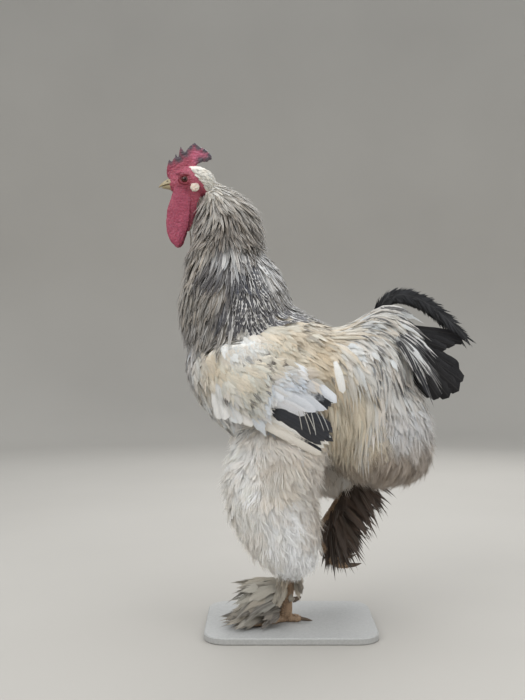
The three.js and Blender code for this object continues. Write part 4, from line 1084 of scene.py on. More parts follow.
# Crown: the short pale feathers of the head, behind the comb and round the ear. They are plain narrow
# vanes that lie flat on the skin.
crown_feathers = feather_material("crown_feathers", 0.8, (120, 112, 100), 300.0)
places, facing, spots = scatter(
    ["face", "brow", "neck"], 2.2, 51,
    lambda x, y, z: feathered(x + 1, z) & (z > 606) & (z < 675) & ~feathered(x - 26, z),
)
count = len(places)
rng = np.random.default_rng(52)
path, faces = laid(
    places, facing, rng.uniform(8, 14, count), rng.uniform(1.0, 2.4, count),
    0.2 * rng.normal(size=count) + messy(places, 10, 0.5, 2), 3,
)
# None climbs the comb.
top = path[:, :, 2].max(1)
kept = (top < places[:, 2] + 1.5 * MM) & (top < GROUND + 671 * MM)
places, path, faces, spots = (v[kept] for v in (places, path, faces, spots))
count = len(places)
marks = no_marks(count)
marks[:, 0] = (rng.random(count) < 0.3) * 0.7
piece = coat(
    "crown", path, faces, rng.uniform(0.9, 1.6, count), spots,
    varied(ground_at(places, NECK_COLOURS), rng, 0.2, 0.04, 0), marks,
    [plain_vane(LANCET, s, 4, (-1, 0, 1)) for s in range(5)], 53,
)
piece.data.materials.append(crown_feathers)

# Wings: soft small coverts over the shoulder; below them smooth white coverts, then dark folded flight
# feathers, and under those the pale edge of the longest. Each tier's roots are hidden by the next above.
wing_feathers = feather_material("wing_feathers", 0.55, (34, 36, 42), 800.0, sheen=0.2)
STRAP = [(0, .5), (.3, .95), (.6, 1), (.85, .95), (.95, .7), (1, .2)]
WING_TIERS = [
    # how many, [x, z] of the first and last root and of their tips, half width, height, colour, which
    # have dark tips
    (7, ((-70, 312), (-46, 326)), ((38, 258), (56, 277)), 7, 1, (236, 232, 223), (2, 5)),
    (9, ((-42, 322), (-20, 340)), ((44, 274), (60, 294)), 7, 2.5, (50, 52, 58), ()),
    (15, ((-62, 344), (-6, 376)), ((16, 315), (60, 326)), 8, 4, (232, 234, 238), (11, 12, 13)),
    (6, ((6, 324), (34, 318)), ((14, 286), (52, 290)), 0.6, 4.5, (190, 189, 184), ()),
    (13, ((-84, 348), (-24, 386)), ((-34, 322), (26, 360)), 8.5, 5, (230, 231, 232), (9,)),
    (9, ((-114, 352), (-70, 346)), ((-99, 307), (-38, 298)), 9, 3, (232, 232, 230), ()),
    (1, ((61, 388), (61, 388)), ((74, 337), (74, 337)), 5, 2, (232, 231, 226), ()),
]


def wing_face(x, z, height):
    """How far out the smooth face of the folded wing lies over a place, and the way it faces. It bulges
    most at its middle, and turns in towards the front below the shoulder."""
    middle_x, middle_z, bulge, shoulder = -20, 352, 112, -92
    ahead = np.where(x < middle_x, 0.0018, 0.0009)
    over = np.where(z > middle_z, 0.0065, 0.0022)
    front = np.maximum(shoulder - x, 0)
    y = bulge - ahead * (x - middle_x) ** 2 - over * (z - middle_z) ** 2 - 0.014 * front**2 + height
    slope_x, slope_z = 2 * ahead * (x - middle_x) - 0.028 * front, 2 * over * (z - middle_z)
    return y, unit(np.stack([slope_x, 1 + 0 * x, slope_z], -1))


def spots_near(points):
    """The unwrap's spots of the skin nearest to roots that don't grow from a scatter."""
    return np.array([skin_uv[loops[skin_tree.find_nearest(p)[2]]].mean(0) for p in points.tolist()])


def wing_paths(roots, tips, height, side, sag=3.0):
    """Paths over the wing's face from roots to tips, each [x, z], sunk at the root and rolled a little."""
    line = roots[:, None] + (tips - roots)[:, None] * np.linspace(0, 1, 6)[:, None]
    line[:, :, 1] += np.sin(np.linspace(0, 1, 6) * math.pi) * sag
    y, out = wing_face(line[:, :, 0], line[:, :, 1], height)
    y[:, 0] -= 5
    y[:, 1] -= 1
    out[:, :, 2] -= 0.08
    out[:, :, 1] *= side
    path = in_frame(np.stack([line[:, :, 0], side * y, line[:, :, 1]], 2))
    return above_skin(path, 2, 2 + np.mean(height) / 2), unit(out)


for side, word in ((-1, "left"), (1, "right")):
    rng = np.random.default_rng(71)
    roots, tips, height, half, colours, marks = [], [], [], [], [], []
    for count, root_line, tip_line, width, high, colour, dark_tips in WING_TIERS:
        share = np.linspace(0, 1, count)[:, None]
        for line, into, loose in ((root_line, roots, 2), (tip_line, tips, 5)):
            a, b = np.array(line, float)
            into.append(a + (b - a) * share + rng.uniform(-loose, loose, (count, 2)))
        height.append(high + 1.2 * share[:, 0] + rng.uniform(0, 0.8, count))
        half.append(width * rng.uniform(0.85, 1.15, count))
        colours.append(varied(np.tile(linear(colour), (count, 1)), rng, 0.08, 0.04, 0))
        marks.append(no_marks(count))
        marks[-1][list(dark_tips), 2] = 1
    roots, tips, height, half, colours, marks = map(np.concatenate, (roots, tips, height, half, colours, marks))
    path, faces = wing_paths(roots, tips, height[:, None], side)
    piece = coat(
        "flight_" + word, path, faces, half, spots_near(path[:, 1]), colours, marks,
        [plain_vane(STRAP, s, 10, ragged=0.06, camber=0.2) for s in range(5)], 72,
    )
    piece.data.materials.append(wing_feathers)

    # The small coverts, from the shoulder back, lie less orderly.
    count = 520
    across, down = rng.uniform(0, 1, count), rng.uniform(0, 1, count) ** 0.9
    front, rear = np.array((-124.0, 372)), np.array((-58.0, 402))
    roots = front + (rear - front) * across[:, None] + np.array((74, -30)) * down[:, None]
    roots += np.array((-6, -26)) * (1 - across[:, None]) * down[:, None] + rng.uniform(-4, 4, (count, 2))
    aim = -34 + 16 * rng.normal(size=count)
    aim += 30 * np.array([noise.noise(Vector((x / 24, z / 24, side))) for x, z in roots])
    aim = np.radians(aim - 20 * (1 - across) * (1 - down))
    length = rng.uniform(26, 42, count)
    tips = roots + np.stack([np.cos(aim), np.sin(aim)], 1) * length[:, None]
    # They leave the smooth feathers of the wing's middle bare.
    kept = (tips[:, 0] < -24) | (tips[:, 1] > 365 - 0.5 * (tips[:, 0] + 28) + rng.uniform(-7, 7, count))
    roots, tips, down = roots[kept], tips[kept], down[kept]
    count = len(roots)
    height = 3.5 + 5.5 * np.minimum(3 * down, 1) - 2.5 * down + rng.uniform(-1.5, 1.5, count)
    path, faces = wing_paths(roots, tips, height[:, None] + np.linspace(-3, 1.5, 6), side, 1.5)
    marks = no_marks(count)
    marks[:, 0] = (rng.random(count) < 0.08) * rng.uniform(0.4, 1, count)
    dark = (np.abs(tips[:, 0] + 16) < 20) & (np.abs(tips[:, 1] - 388) < 8) & (rng.random(count) < 0.7)
    marks[dark, 2] = 1
    piece = coat(
        "coverts_" + word, path, faces, rng.uniform(6, 9, count), spots_near(path[:, 1]),
        varied(ground_at(path[:, 2], BODY_COLOURS), rng, 0.1, 0.05, messy(path[:, 2], 12, 0.12, 9)), marks,
        soft_forms, 73,
    )
    piece.data.materials.append(body_feathers)

    # The fluffier ones over the shoulder hide the wing's joint.
    count = 260
    along = rng.uniform(0, 1, count)
    roots = np.array((-136.0, 384)) + np.array((122, 44)) * along[:, None] + rng.uniform(-11, 11, (count, 2))
    aim = np.radians(-74 + 44 * along + 15 * rng.normal(size=count))
    tips = roots + np.stack([np.cos(aim), np.sin(aim)], 1) * rng.uniform(24, 42, (count, 1))
    path, faces = wing_paths(roots, tips, rng.uniform(1, 4, (count, 1)) + np.linspace(-3, 2, 6), side, 1.5)
    piece = coat(
        "shoulder_" + word, path, faces, rng.uniform(5, 9, count), spots_near(path[:, 1]),
        varied(ground_at(path[:, 3], BODY_COLOURS), rng, 0.1, 0.05, messy(path[:, 2], 12, 0.14, 9)),
        no_marks(count), [soft_vane(ROUNDED, s, 4, 16) for s in range(6)], 74,
    )
    piece.data.materials.append(body_feathers)

# Saddle: long narrow hackles that pour from the back over the folded wings' ends, whitest on the hip,
# where dark streaks show, and creamy where they hang below the wing.
saddle_feathers = feather_material("saddle_feathers", 0.7, (44, 43, 47), 700.0, sheen=0.3)
saddle_forms = [soft_vane(LANCET, s, 6) for s in range(6)]
HIP_AND_ROUND_IT = np.array([(134, 410), (60, 380), (84, 300), (165, 440), (158, 330)], float)
places, facing, spots = scatter(
    ["trunk"], 6.6, 81, lambda x, y, z: (x > 44) & (x < 178) & ((z > 350) | (x < 100) & (z > 325))
)
count = len(places)
rng = np.random.default_rng(82)
hip = weights(places, HIP_AND_ROUND_IT, 20)[:, 0]
path, faces = laid(
    places, facing, rng.uniform(56, 104, count) - 30 * hip, rng.uniform(5, 9, count) + messy(places, 20, 3, 4),
    0.12 * rng.normal(size=count) + messy(places, 28, 0.5, 6), 6, fall=0.15,
)
marks = no_marks(count)
marks[:, 0] = np.where(rng.random(count) < 0.03 + 0.5 * hip, rng.uniform(0.5, 1, count), 0)
piece = coat(
    "saddle", path, faces, rng.uniform(3.5, 6, count), spots,
    varied(ground_at(places, BODY_COLOURS), rng, 0.14, 0.05, messy(places, 14, 0.12, 9)), marks,
    saddle_forms, 83,
)
piece.data.materials.append(saddle_feathers)

places, facing, spots = scatter(["trunk"], 6.5, 85, lambda x, y, z: (x > 42) & (x < 118) & (z > 322) & (z < 372))
count = len(places)
rng = np.random.default_rng(86)
path, faces = laid(
    places, facing, rng.uniform(84, 122, count), rng.uniform(9, 13, count),
    0.1 * rng.normal(size=count) + messy(places, 30, 0.3, 6), 6, fall=0.3,
)
CREAM, WHITE = linear((216, 205, 184)), linear((212, 209, 204))
whiter = np.clip((places[:, 0:1] / MM - 84) / 28, 0, 1)
piece = coat(
    "saddle_ends", path, faces, rng.uniform(4.5, 7, count), spots,
    varied(CREAM + whiter * (WHITE - CREAM), rng, 0.14, 0.05, messy(places, 14, 0.14, 9)),
    no_marks(count), saddle_forms, 87,
)
piece.data.materials.append(saddle_feathers)

# Fluff: the loose plumage of the cushion below the tail and of the thighs, soft vanes with a dense down
# of fine separate barbs over them.
fluff_feathers = feather_material("fluff_feathers", 0.95, (150, 140, 128), 300.0, sheen=0.4, bump=0.1, through=0.3)


def down_tuft(seed):
    """A tuft of loose down: fine blades that fan out from one root and curl at the tips."""
    rng = np.random.default_rng(seed)
    made, count, width = [], 14, 0.06
    v = np.array((0, 0.5, 1))
    for k in range(count):
        aim = (k + 0.5) / count * 2 - 1 + 0.15 * rng.uniform(-1, 1)
        length = rng.uniform(0.65, 1.1) * (1 - 0.25 * aim * aim)
        bend = 0.4 * rng.uniform(-1, 1)
        middle = np.stack([aim * v + bend * v * v, length * v], 1)
        points, triangles = blade(middle, (width, width * 0.8), (1, 0), 0.05, (-1, 1))
        points[:, 2] += 0.5 * rng.uniform(-0.5, 1) * points[:, 1] ** 2 + 0.08 * rng.uniform(-1, 1)
        made.append((points, triangles))
    return joined(made)


down_forms = [down_tuft(s) for s in range(8)]
fluff_forms = [soft_vane(ROUNDED, s, 4, 16) for s in range(6)]
for name, parts, table, slot, seed in (
    ("cushion", ["fluff", "trunk"], BODY_COLOURS, "fluff_feathers", 91),
    ("thigh_left", ["thigh_left"], THIGH_COLOURS, "thigh_feathers", 95),
    ("thigh_right", ["thigh_right"], THIGH_COLOURS, "thigh_feathers", 99),
):
    def zone(x, y, z):
        return (x > 60) & (z < 320) if name == "cushion" else z > -1

    for layer, spacing, long, half, lift, forms in (
        ("vanes", 12, (30, 44), (10, 14), (1, 4), fluff_forms),
        ("down", 6.3, (22, 36), (7, 11), (4, 11), down_forms),
    ):
        places, facing, spots = scatter(parts, spacing, seed, zone)
        count = len(places)
        rng = np.random.default_rng(seed + 1)
        path, faces = laid(
            places, facing, rng.uniform(*long, count), rng.uniform(*lift, count) + messy(places, 24, 3, 8),
            0.25 * rng.normal(size=count) + messy(places, 30, 0.8, 2), 4, curl=rng.uniform(0, 6, count),
        )
        piece = coat(
            f"{name}_{layer}", path, faces, rng.uniform(*half, count), spots,
            varied(ground_at(places, table), rng, 0.06, 0.03, messy(places, 26, 0.16, 9)), no_marks(count),
            forms, seed + 2,
        )
        piece.data.materials.append(fluff_feathers)

# Tail: two folded fans of stiff black feathers on the rump, the upper ones narrow and level, the lower
# ones broad and round, below a pair of long arched sickles with frayed edges.
tail_feathers = feather_material("tail_feathers", 0.35, (10, 11, 14), 900.0, sheen=0.05, through=0)
TAIL_FAN = [
    # fall in degrees, length, half width
    (6, 93, 6), (9, 86, 7), (11, 74, 8), (15, 62, 9), (27, 88, 11), (32.6, 98, 13), (39, 99, 14),
    (47.5, 92, 14), (54.5, 80, 13),
]
rng = np.random.default_rng(101)
paths, outs, halves = [], [], []
for side in (-1, 1):
    for k, (fall, long, half) in enumerate(TAIL_FAN):
        angle = -math.radians(fall)
        s = np.linspace(-0.25, 1, 7)[:, None]
        heading = np.array((math.cos(angle), 0.06 * side, math.sin(angle)))
        start = np.array((172, side * (3 + 2 * k), 436 - 4.5 * k))
        paths.append(start + heading * long * s + np.array((0, 0.02 * side, -0.05)) * long * s * np.abs(s))
        outs.append(np.tile((0, side, 0.1), (7, 1)))
        halves.append(half)
path = in_frame(paths)
count = len(path)
FAN_FEATHER = [(0, .5), (.3, .8), (.7, 1), (.88, .9), (.96, .6), (1, .15)]
piece = coat(
    "tail_fan", path, unit(np.array(outs)), np.array(halves), spots_near(path[:, 0]),
    varied(np.tile(linear((22, 21, 23)), (count, 1)), rng, 0.25, 0.04, 0), no_marks(count),
    [plain_vane(FAN_FEATHER, s, 16, ragged=0.05, camber=0.15) for s in range(5)], 102,
)
piece.data.materials.append(tail_feathers)


def frayed_vane(profile, seed, barbs=64):
    """A sickle: a narrow middle with separate fine barbs on both sides, which reach its outline."""
    rng = np.random.default_rng(seed)
    v = np.linspace(0, 1, 5)
    blades = [blade(np.stack([0 * v, v * 0.96], 1), 0.4 * (1.1 - v), (1, 0), 0.05)]
    first, last, sweep, barb = 0.02, 0.93, 0.1, 0.014
    for side in (-1, 1):
        for k in range(barbs):
            start = first + (last - first) * (k + 0.3 * rng.uniform(-1, 1)) / (barbs - 1)
            stop = start + sweep * rng.uniform(0.7, 1.3)
            out = np.interp(min(stop, 0.97), *zip(*profile)) * rng.uniform(0.85, 1.15)
            stop = min(stop, 1.06)
            mid = ((0.45 * out) * side, start + 0.42 * (stop - start))
            points, triangles = blade(
                [(0, start), mid, (out * side, stop)], (barb, 1.2 * barb), (0.25, 1), 0.03, (-1, 1)
            )
            points[:, 2] -= 0.2 * points[:, 0] ** 2 + 0.3 * rng.uniform(-1, 1) * np.abs(points[:, 0])
            blades.append((points, triangles))
    return joined(blades)


SICKLE = [(0, .1), (.12, .7), (.3, 1), (.6, 1), (.85, .8), (1, .3)]
paths, outs, halves = [], [], []
for side in (-1, 1):
    for k in range(5):
        # From inside the rump it rises to its crest and falls to its tip; the inner ones are shorter.
        s = np.linspace(-0.06, 1 - 0.09 * k, 8)
        along = np.maximum(s, 0)
        arch = np.sin(math.pi * np.minimum(1, 0.12 + 0.88 * along**0.8))
        height = 452 + 38 * arch - 40 * along**1.6 - 2.4 * k * np.minimum(1, along * 3)
        height -= 200 * np.maximum(0.07 - s, 0)
        paths.append(np.stack([130 + 138 * s + 1.5 * k, side * (6 + 15 * s - 1.1 * k), height], 1))
        outs.append(np.tile((0, side, 0.15), (8, 1)))
        halves.append(12 - 1.5 * k)
path = in_frame(paths)
count = len(path)
piece = coat(
    "sickles", path, unit(np.array(outs)), np.array(halves), spots_near(path[:, 0]),
    varied(np.tile(linear((38, 38, 40)), (count, 1)), rng, 0.35, 0.03, 0), no_marks(count),
    [frayed_vane(SICKLE, s) for s in range(5)], 103, 0.4,
)
piece.data.materials.append(tail_feathers)
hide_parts("sickle_base_left", "sickle_base_right", "sickle_tip_left", "sickle_tip_right")

# Tail coverts: curved feathers that arch from the hip over the root of the tail, white ones with dark
# marks above and black ones with white edges below.
count = 130
rng = np.random.default_rng(105)
share, side = rng.random(count), np.where(np.arange(count) % 2, 1, -1)
black = (share > 0.42) & (rng.random(count) < 0.6)
root = np.stack([124 + 34 * share, side * (5 + 40 * share), 456 - 42 * share], 1) + rng.uniform(-5, 5, (count, 3))
s = np.linspace(0, 1, 6)[:, None]
rise = np.radians(20 - 66 * share + 9 * rng.normal(size=count))[:, None]
long = rng.uniform(44, 76, count)[:, None]
line = root[:, None] + np.stack([
    np.cos(rise) * long * s[:, 0], (side * (5 + 6 * share))[:, None] * s[:, 0],
    np.sin(rise) * long * s[:, 0] - 0.5 * long * s[:, 0] ** 2,
], 2)
faces = np.tile(np.array((0, 1, 0.35)), (count, 6, 1))
faces[:, :, 1] *= side[:, None]
colours = np.where(black[:, None], linear((30, 32, 37)), linear((222, 220, 216)))
marks = no_marks(count)
marks[:, 0] = np.where(black, 0.6, (rng.random(count) < 0.55) * 0.9)
marks[:, 3] = black * rng.uniform(0.5, 1, count)
path = in_frame(line)
piece = coat(
    "tail_coverts", path, unit(faces), rng.uniform(4, 7, count), spots_near(path[:, 0]),
    varied(colours, rng, 0.1, 0.04, 0), marks, [soft_vane(LANCET, s, 8) for s in range(6)], 106,
)
piece.data.materials.append(saddle_feathers)

# Legs: scaly shanks and four toes each, fused to one skin a leg. The left foot stands, the right is
# drawn up with its toes hanging and curled.
TOES = {
    # The way each toe points in degrees round from straight ahead, its length and radius
    "middle": (2, 72, 7.6), "outer": (34, 58, 6.8), "inner": (-36, 54, 7), "hind": (170, 26, 6.2),
}
KNUCKLES = (0.9, 1.12, 1, 1.1, 0.9, 0.98, 0.8, 0.55)
LEGS = {
    # hock, foot, the way ahead and the sole's, how far the toes curl
    "left": ((8, -42, 119), (-9, -14, 0), (-1, 0, 0), (0, 0, -1), 0.0),
    "right": ((106, 50, 207), (57, 46, 114), (-0.1, 0, -1), (1, 0, -0.1), 1.7),
}
SHANK_RADIUS, ANKLE_HEIGHT = 9.5, 12
SHANK = [
    # share of the way from hock to ankle, and the reach above, below and beside in shank radii
    (-.06, .5, .5, .5), (.04, 1.35, 1.35, 1.35), (.2, 1.05, 1, .92), (.5, 1, .95, .86),
    (.8, 1.05, 1, .9), (.97, 1.2, 1.3, 1.15), (1.06, .7, .8, .7),
]
leg_scales, tree, shader = new_material("leg_scales", 0.5)
place = own_place(tree)
cells = add_node(tree, "ShaderNodeTexVoronoi", {"Vector": place, "Scale": 330.0}, feature="DISTANCE_TO_EDGE")
skin_tone = mixed(tree, grain(tree, place, 60.0, 4.0), (0.27, 0.16, 0.09, 1), (0.44, 0.31, 0.2, 1))
seam = add_node(
    tree, "ShaderNodeMapRange", {"Value": cells.outputs["Distance"], "From Max": 0.12, "To Min": 0.45}
).outputs["Result"]
scaly = add_node(tree, "ShaderNodeVectorMath", {0: skin_tone, 3: seam}, operation="SCALE").outputs["Vector"]
set_inputs(tree, shader, {"Base Color": scaly, "Normal": bumped(tree, seam, 0.6, 0.0008)})


def shank_ends(leg):
    """The middles of hock and ankle."""
    hock, foot, *_ = LEGS[leg]
    return np.array(hock, float), np.array(foot, float) + (0, 0, ANKLE_HEIGHT)


def toe_point(length, radius, curl, distance):
    """A place along a toe that curls evenly, before it is turned to its heading."""
    bend = max(curl, 1e-4) / length
    angle = bend * distance
    return np.array((math.sin(angle) / bend, 0, radius * 0.78 - (1 - math.cos(angle)) / bend))


def toe_curl(leg, toe):
    return LEGS[leg][4] / (2 if toe == "hind" else 1)


def foot_frame(leg, turn):
    """The axes of a toe: along it, across it and up from the sole, and the foot's middle."""
    hock, foot, ahead, sole, curl = LEGS[leg]
    over = -unit(np.array(sole, float))
    front = unit(np.array(ahead) - over * np.dot(ahead, over))
    side = -1 if leg == "left" else 1
    angle = -side * math.radians(turn)
    way = front * math.cos(angle) + np.cross(over, front) * math.sin(angle)
    return np.stack([way, np.cross(over, way), over]), np.array(foot, float)


def toe_rows(leg, toe):
    turn, length, radius = TOES[toe]
    axes, foot = foot_frame(leg, turn)
    rows = []
    for i, k in enumerate(KNUCKLES):
        distance = length * (-0.08 + 1.06 * i / (len(KNUCKLES) - 1))
        middle = toe_point(length, radius, toe_curl(leg, toe), distance)
        rows.append((*(middle @ axes + foot), radius * k * 0.95, radius * k, radius * k))
    return rows


def tube(rows, rings=40, sides=24):
    """Points and faces of a closed round skin along a shank, toe or claw, level across."""
    points = []
    for i in range(rings + 1):
        t = 0.005 + 0.99 * i / rings
        along = unit(way_along(rows, t))
        across = unit(np.cross((0.0, 0, 1), along) + np.array((0, 1e-6, 0)))
        points += oval(row_at(rows, t), across, np.cross(along, across), sides)
    return in_frame(points), ringed(rings, sides)


def on_base(leg, points):
    """Flattens what the standing foot would sink into the base."""
    return np.maximum(points, (-9, -9, GROUND)) if leg == "left" else points


for leg in LEGS:
    hock, ankle = shank_ends(leg)
    rows = [(*(hock + (ankle - hock) * s), *(SHANK_RADIUS * np.array(reach))) for s, *reach in SHANK]
    toes = [tube(toe_rows(leg, toe)) for toe in TOES]
    piece = fused("leg_" + leg, [tube(rows)] + [(on_base(leg, p), f) for p, f in toes], 1.2 * MM, 3)
    piece.data.shade_smooth()
    piece.data.materials.append(leg_scales)
    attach(piece, "root")
    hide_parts("shank_" + leg, "foot_" + leg)

# Scutes: the overlapping horny plates down the front of the shanks and along the tops of the toes.
# Geometry Nodes set one plate after the other along each line, bigger where the bone is thicker.
def scute_rows():
    group = bpy.data.node_groups.new("scute_rows", "GeometryNodeTree")
    face = group.interface
    face.new_socket(name="Lines", in_out="INPUT", socket_type="NodeSocketGeometry")
    for name, kind, value in (
        ("Spacing", "NodeSocketFloat", 0.004), ("Thickness", "NodeSocketFloat", 0.0016),
        ("Tilt", "NodeSocketFloat", 0.16), ("Unevenness", "NodeSocketFloat", 0.15), ("Seed", "NodeSocketInt", 1),
    ):
        face.new_socket(name=name, in_out="INPUT", socket_type=kind).default_value = value
    face.new_socket(name="Horn", in_out="INPUT", socket_type="NodeSocketMaterial")
    face.new_socket(name="Plates", in_out="OUTPUT", socket_type="NodeSocketGeometry")
    inputs = add_node(group, "NodeGroupInput").outputs
    curve = add_node(group, "GeometryNodeMeshToCurve", {"Mesh": inputs["Lines"]}).outputs["Curve"]
    curve = add_node(
        group, "GeometryNodeResampleCurve", {"Curve": curve, "Length": inputs["Spacing"]}, mode="LENGTH"
    ).outputs["Curve"]
    out = add_node(group, "GeometryNodeInputNamedAttribute", {"Name": "out"}, data_type="FLOAT_VECTOR").outputs[0]
    reach = add_node(group, "GeometryNodeInputNamedAttribute", {"Name": "reach"}, data_type="FLOAT").outputs[0]
    along = add_node(group, "GeometryNodeInputTangent").outputs["Tangent"]
    turned = add_node(group, "FunctionNodeAlignRotationToVector", {"Vector": out}, axis="Z").outputs["Rotation"]
    turned = add_node(
        group, "FunctionNodeAlignRotationToVector", {"Rotation": turned, "Vector": along}, axis="X", pivot_axis="Z"
    ).outputs["Rotation"]
    tilted = add_node(group, "FunctionNodeRotateRotation", {"Rotation": turned}, rotation_space="LOCAL")
    tilt = add_node(group, "ShaderNodeCombineXYZ", {"Y": inputs["Tilt"]}).outputs[0]
    group.links.new(tilt, tilted.inputs["Rotate By"])
    plate = add_node(group, "GeometryNodeMeshUVSphere", {"Segments": 14, "Rings": 8, "Radius": 1.0}).outputs["Mesh"]
    thin = add_node(group, "ShaderNodeMath", {0: inputs["Thickness"], 1: 0.0075}, operation="DIVIDE").outputs[0]
    flat = add_node(group, "ShaderNodeCombineXYZ", {"X": 0.42, "Y": 0.74, "Z": thin}).outputs[0]
    plate = add_node(group, "GeometryNodeTransform", {"Geometry": plate, "Scale": flat}).outputs["Geometry"]
    low = add_node(group, "ShaderNodeMath", {0: 1.0, 1: inputs["Unevenness"]}, operation="SUBTRACT").outputs[0]
    high = add_node(group, "ShaderNodeMath", {0: 1.0, 1: inputs["Unevenness"]}, operation="ADD").outputs[0]
    uneven = add_node(group, "FunctionNodeRandomValue", data_type="FLOAT")
    for socket, value in (("Min", low), ("Max", high), ("Seed", inputs["Seed"])):
        group.links.new(value, next(s for s in uneven.inputs if s.name == socket and s.enabled))
    size = add_node(
        group, "ShaderNodeMath", {0: reach, 1: next(s for s in uneven.outputs if s.enabled)}, operation="MULTIPLY"
    ).outputs[0]
    plates = add_node(
        group, "GeometryNodeInstanceOnPoints",
        {"Points": curve, "Instance": plate, "Rotation": tilted.outputs["Rotation"], "Scale": size},
    ).outputs["Instances"]
    plates = add_node(group, "GeometryNodeRealizeInstances", {"Geometry": plates}).outputs["Geometry"]
    plates = add_node(group, "GeometryNodeSetMaterial", {"Geometry": plates, "Material": inputs["Horn"]})
    add_node(group, "NodeGroupOutput", {"Plates": plates.outputs["Geometry"]})
    return group


scute_group = scute_rows()
for leg in LEGS:
    hock, ankle = shank_ends(leg)
    axis = unit(ankle - hock)
    front = unit(np.array((-1.0, 0, 0)) + axis * axis[0])
    beside = np.cross(axis, front)
    lines = []
    for turn, wide_by in ((0, 0.92), (-52, 0.7), (52, 0.7)):
        out = front * math.cos(math.radians(turn)) + beside * math.sin(math.radians(turn))
        shares = np.linspace(0.1, 0.98, 16)
        bone = SHANK_RADIUS * np.interp(shares, [r[0] for r in SHANK], [r[1] for r in SHANK])
        lines.append([(hock + (ankle - hock) * s + out * r * 0.93, out, r * wide_by) for s, r in zip(shares, bone)])
    for toe, (turn, *_) in TOES.items():
        axes, _ = foot_frame(leg, turn)
        rows = toe_rows(leg, toe)
        line = []
        for t in np.linspace(0.2, 0.95, 14):
            along = unit(way_along(rows, t, 0.01))
            dorsal = np.cross(along, axes[1])
            row = row_at(rows, t)
            line.append((row[:3] + dorsal * row[3] * 0.92, dorsal, row[3] * 0.95))
        lines.append(line)
    points = [p for line in lines for p, _, _ in line]
    edges, start = [], 0
    for line in lines:
        edges += [(start + k, start + k + 1) for k in range(len(line) - 1)]
        start += len(line)
    mesh = bpy.data.meshes.new("scutes_" + leg)
    mesh.from_pydata([tuple(p) for p in in_frame(points)], edges, [])
    outs = np.array([o for line in lines for _, o, _ in line], np.float32)
    reaches = np.array([r for line in lines for _, _, r in line], np.float32) * MM
    mesh.attributes.new("out", "FLOAT_VECTOR", "POINT").data.foreach_set("vector", outs.ravel())
    mesh.attributes.new("reach", "FLOAT", "POINT").data.foreach_set("value", reaches)
    piece = bpy.data.objects.new("scutes_" + leg, mesh)
    bpy.context.scene.collection.objects.link(piece)
    rows_along = piece.modifiers.new("scutes", "NODES")
    rows_along.node_group = scute_group
    for item in scute_group.interface.items_tree:
        if item.name == "Horn":
            rows_along[item.identifier] = leg_scales
        if item.name == "Seed":
            rows_along[item.identifier] = 7 if leg == "left" else 8
    as_plain_mesh(piece)
    piece.data.shade_smooth()
    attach(piece, "root")

# Boots: the long curled feathers of the shank and outer toes, which a feather-footed breed walks on.
# They are soft vanes rooted beside the bone in rows down the leg, and the lowest ones bend up at the base.
boot_feathers = feather_material("boot_feathers", 0.85, (60, 50, 44), 420.0, sheen=0.3, through=0.1)
BOOTS = {
    # how many, from and to along the leg, where they start beside it and how far apart, heading, its
    # spread, length, half width, how far the tip droops, the lowest that it hangs, and the colour
    "left": [
        (26, (0.12, 0.62), (-10, -8, 0), 5, (-0.3, -0.1, -1), (0.2, 0.2, 0.1), 40, 5.5, 0, 30, (176, 167, 152)),
        (12, (0.3, 0.7), (7, 0, 0), 7, (0.1, 0, -1), (0.2, 0.2, 0.1), 28, 5.5, 0, 34, (166, 157, 144)),
        (15, (0.52, 0.72), (-6, -2, 0), 5, (-1, -0.3, 0.2), (0.1, 0.25, 0.12), 74, 8.5, 0.35, 24, (180, 174, 162)),
        (22, (0.66, 0.86), (-6, -4, 0), 5, (-1, -0.38, 0.08), (0.15, 0.35, 0.14), 78, 8.5, 0.4, 10, (160, 154, 143)),
        (28, (0.86, 1.0), (-14, -6, 0), 5, (-1, -0.35, 0.05), (0.2, 0.45, 0.1), 72, 7, 0.3, 5, (146, 139, 128)),
        (14, (0.9, 1.0), (-10, -8, 0), 5, (-0.7, -0.8, 0.05), (0.3, 0.3, 0.1), 44, 5, 0.3, 4, (136, 128, 118)),
    ],
    # The right boot's colours are far darker than the left's: painted shade on the far foot, drawn up under the
    # body.
    "right": [
        (110, (-0.02, 1.0), (5, 0, 0), 12, (0.85, 0, -0.5), (0.4, 0.5, 0.5), 52, 4.6, 0.4, 62, (84, 70, 61)),
        (110, (0.0, 1.0), (-5, 0, 0), 13, (-0.1, 0, -1), (0.25, 0.3, 0.2), 36, 4.6, -0.1, 62, (74, 61, 53)),
        (130, (0.7, 1.1), (10, 0, 0), 18, (0.2, 0, -1), (0.45, 0.3, 0.2), 62, 4.6, 0, 54, (76, 64, 56)),
    ],
}
leaf_forms = [soft_vane(ROUNDED, s, 7, 18) for s in range(20, 26)]
wisp_forms = [soft_vane(LANCET, s, 4, 14) for s in range(30, 36)]
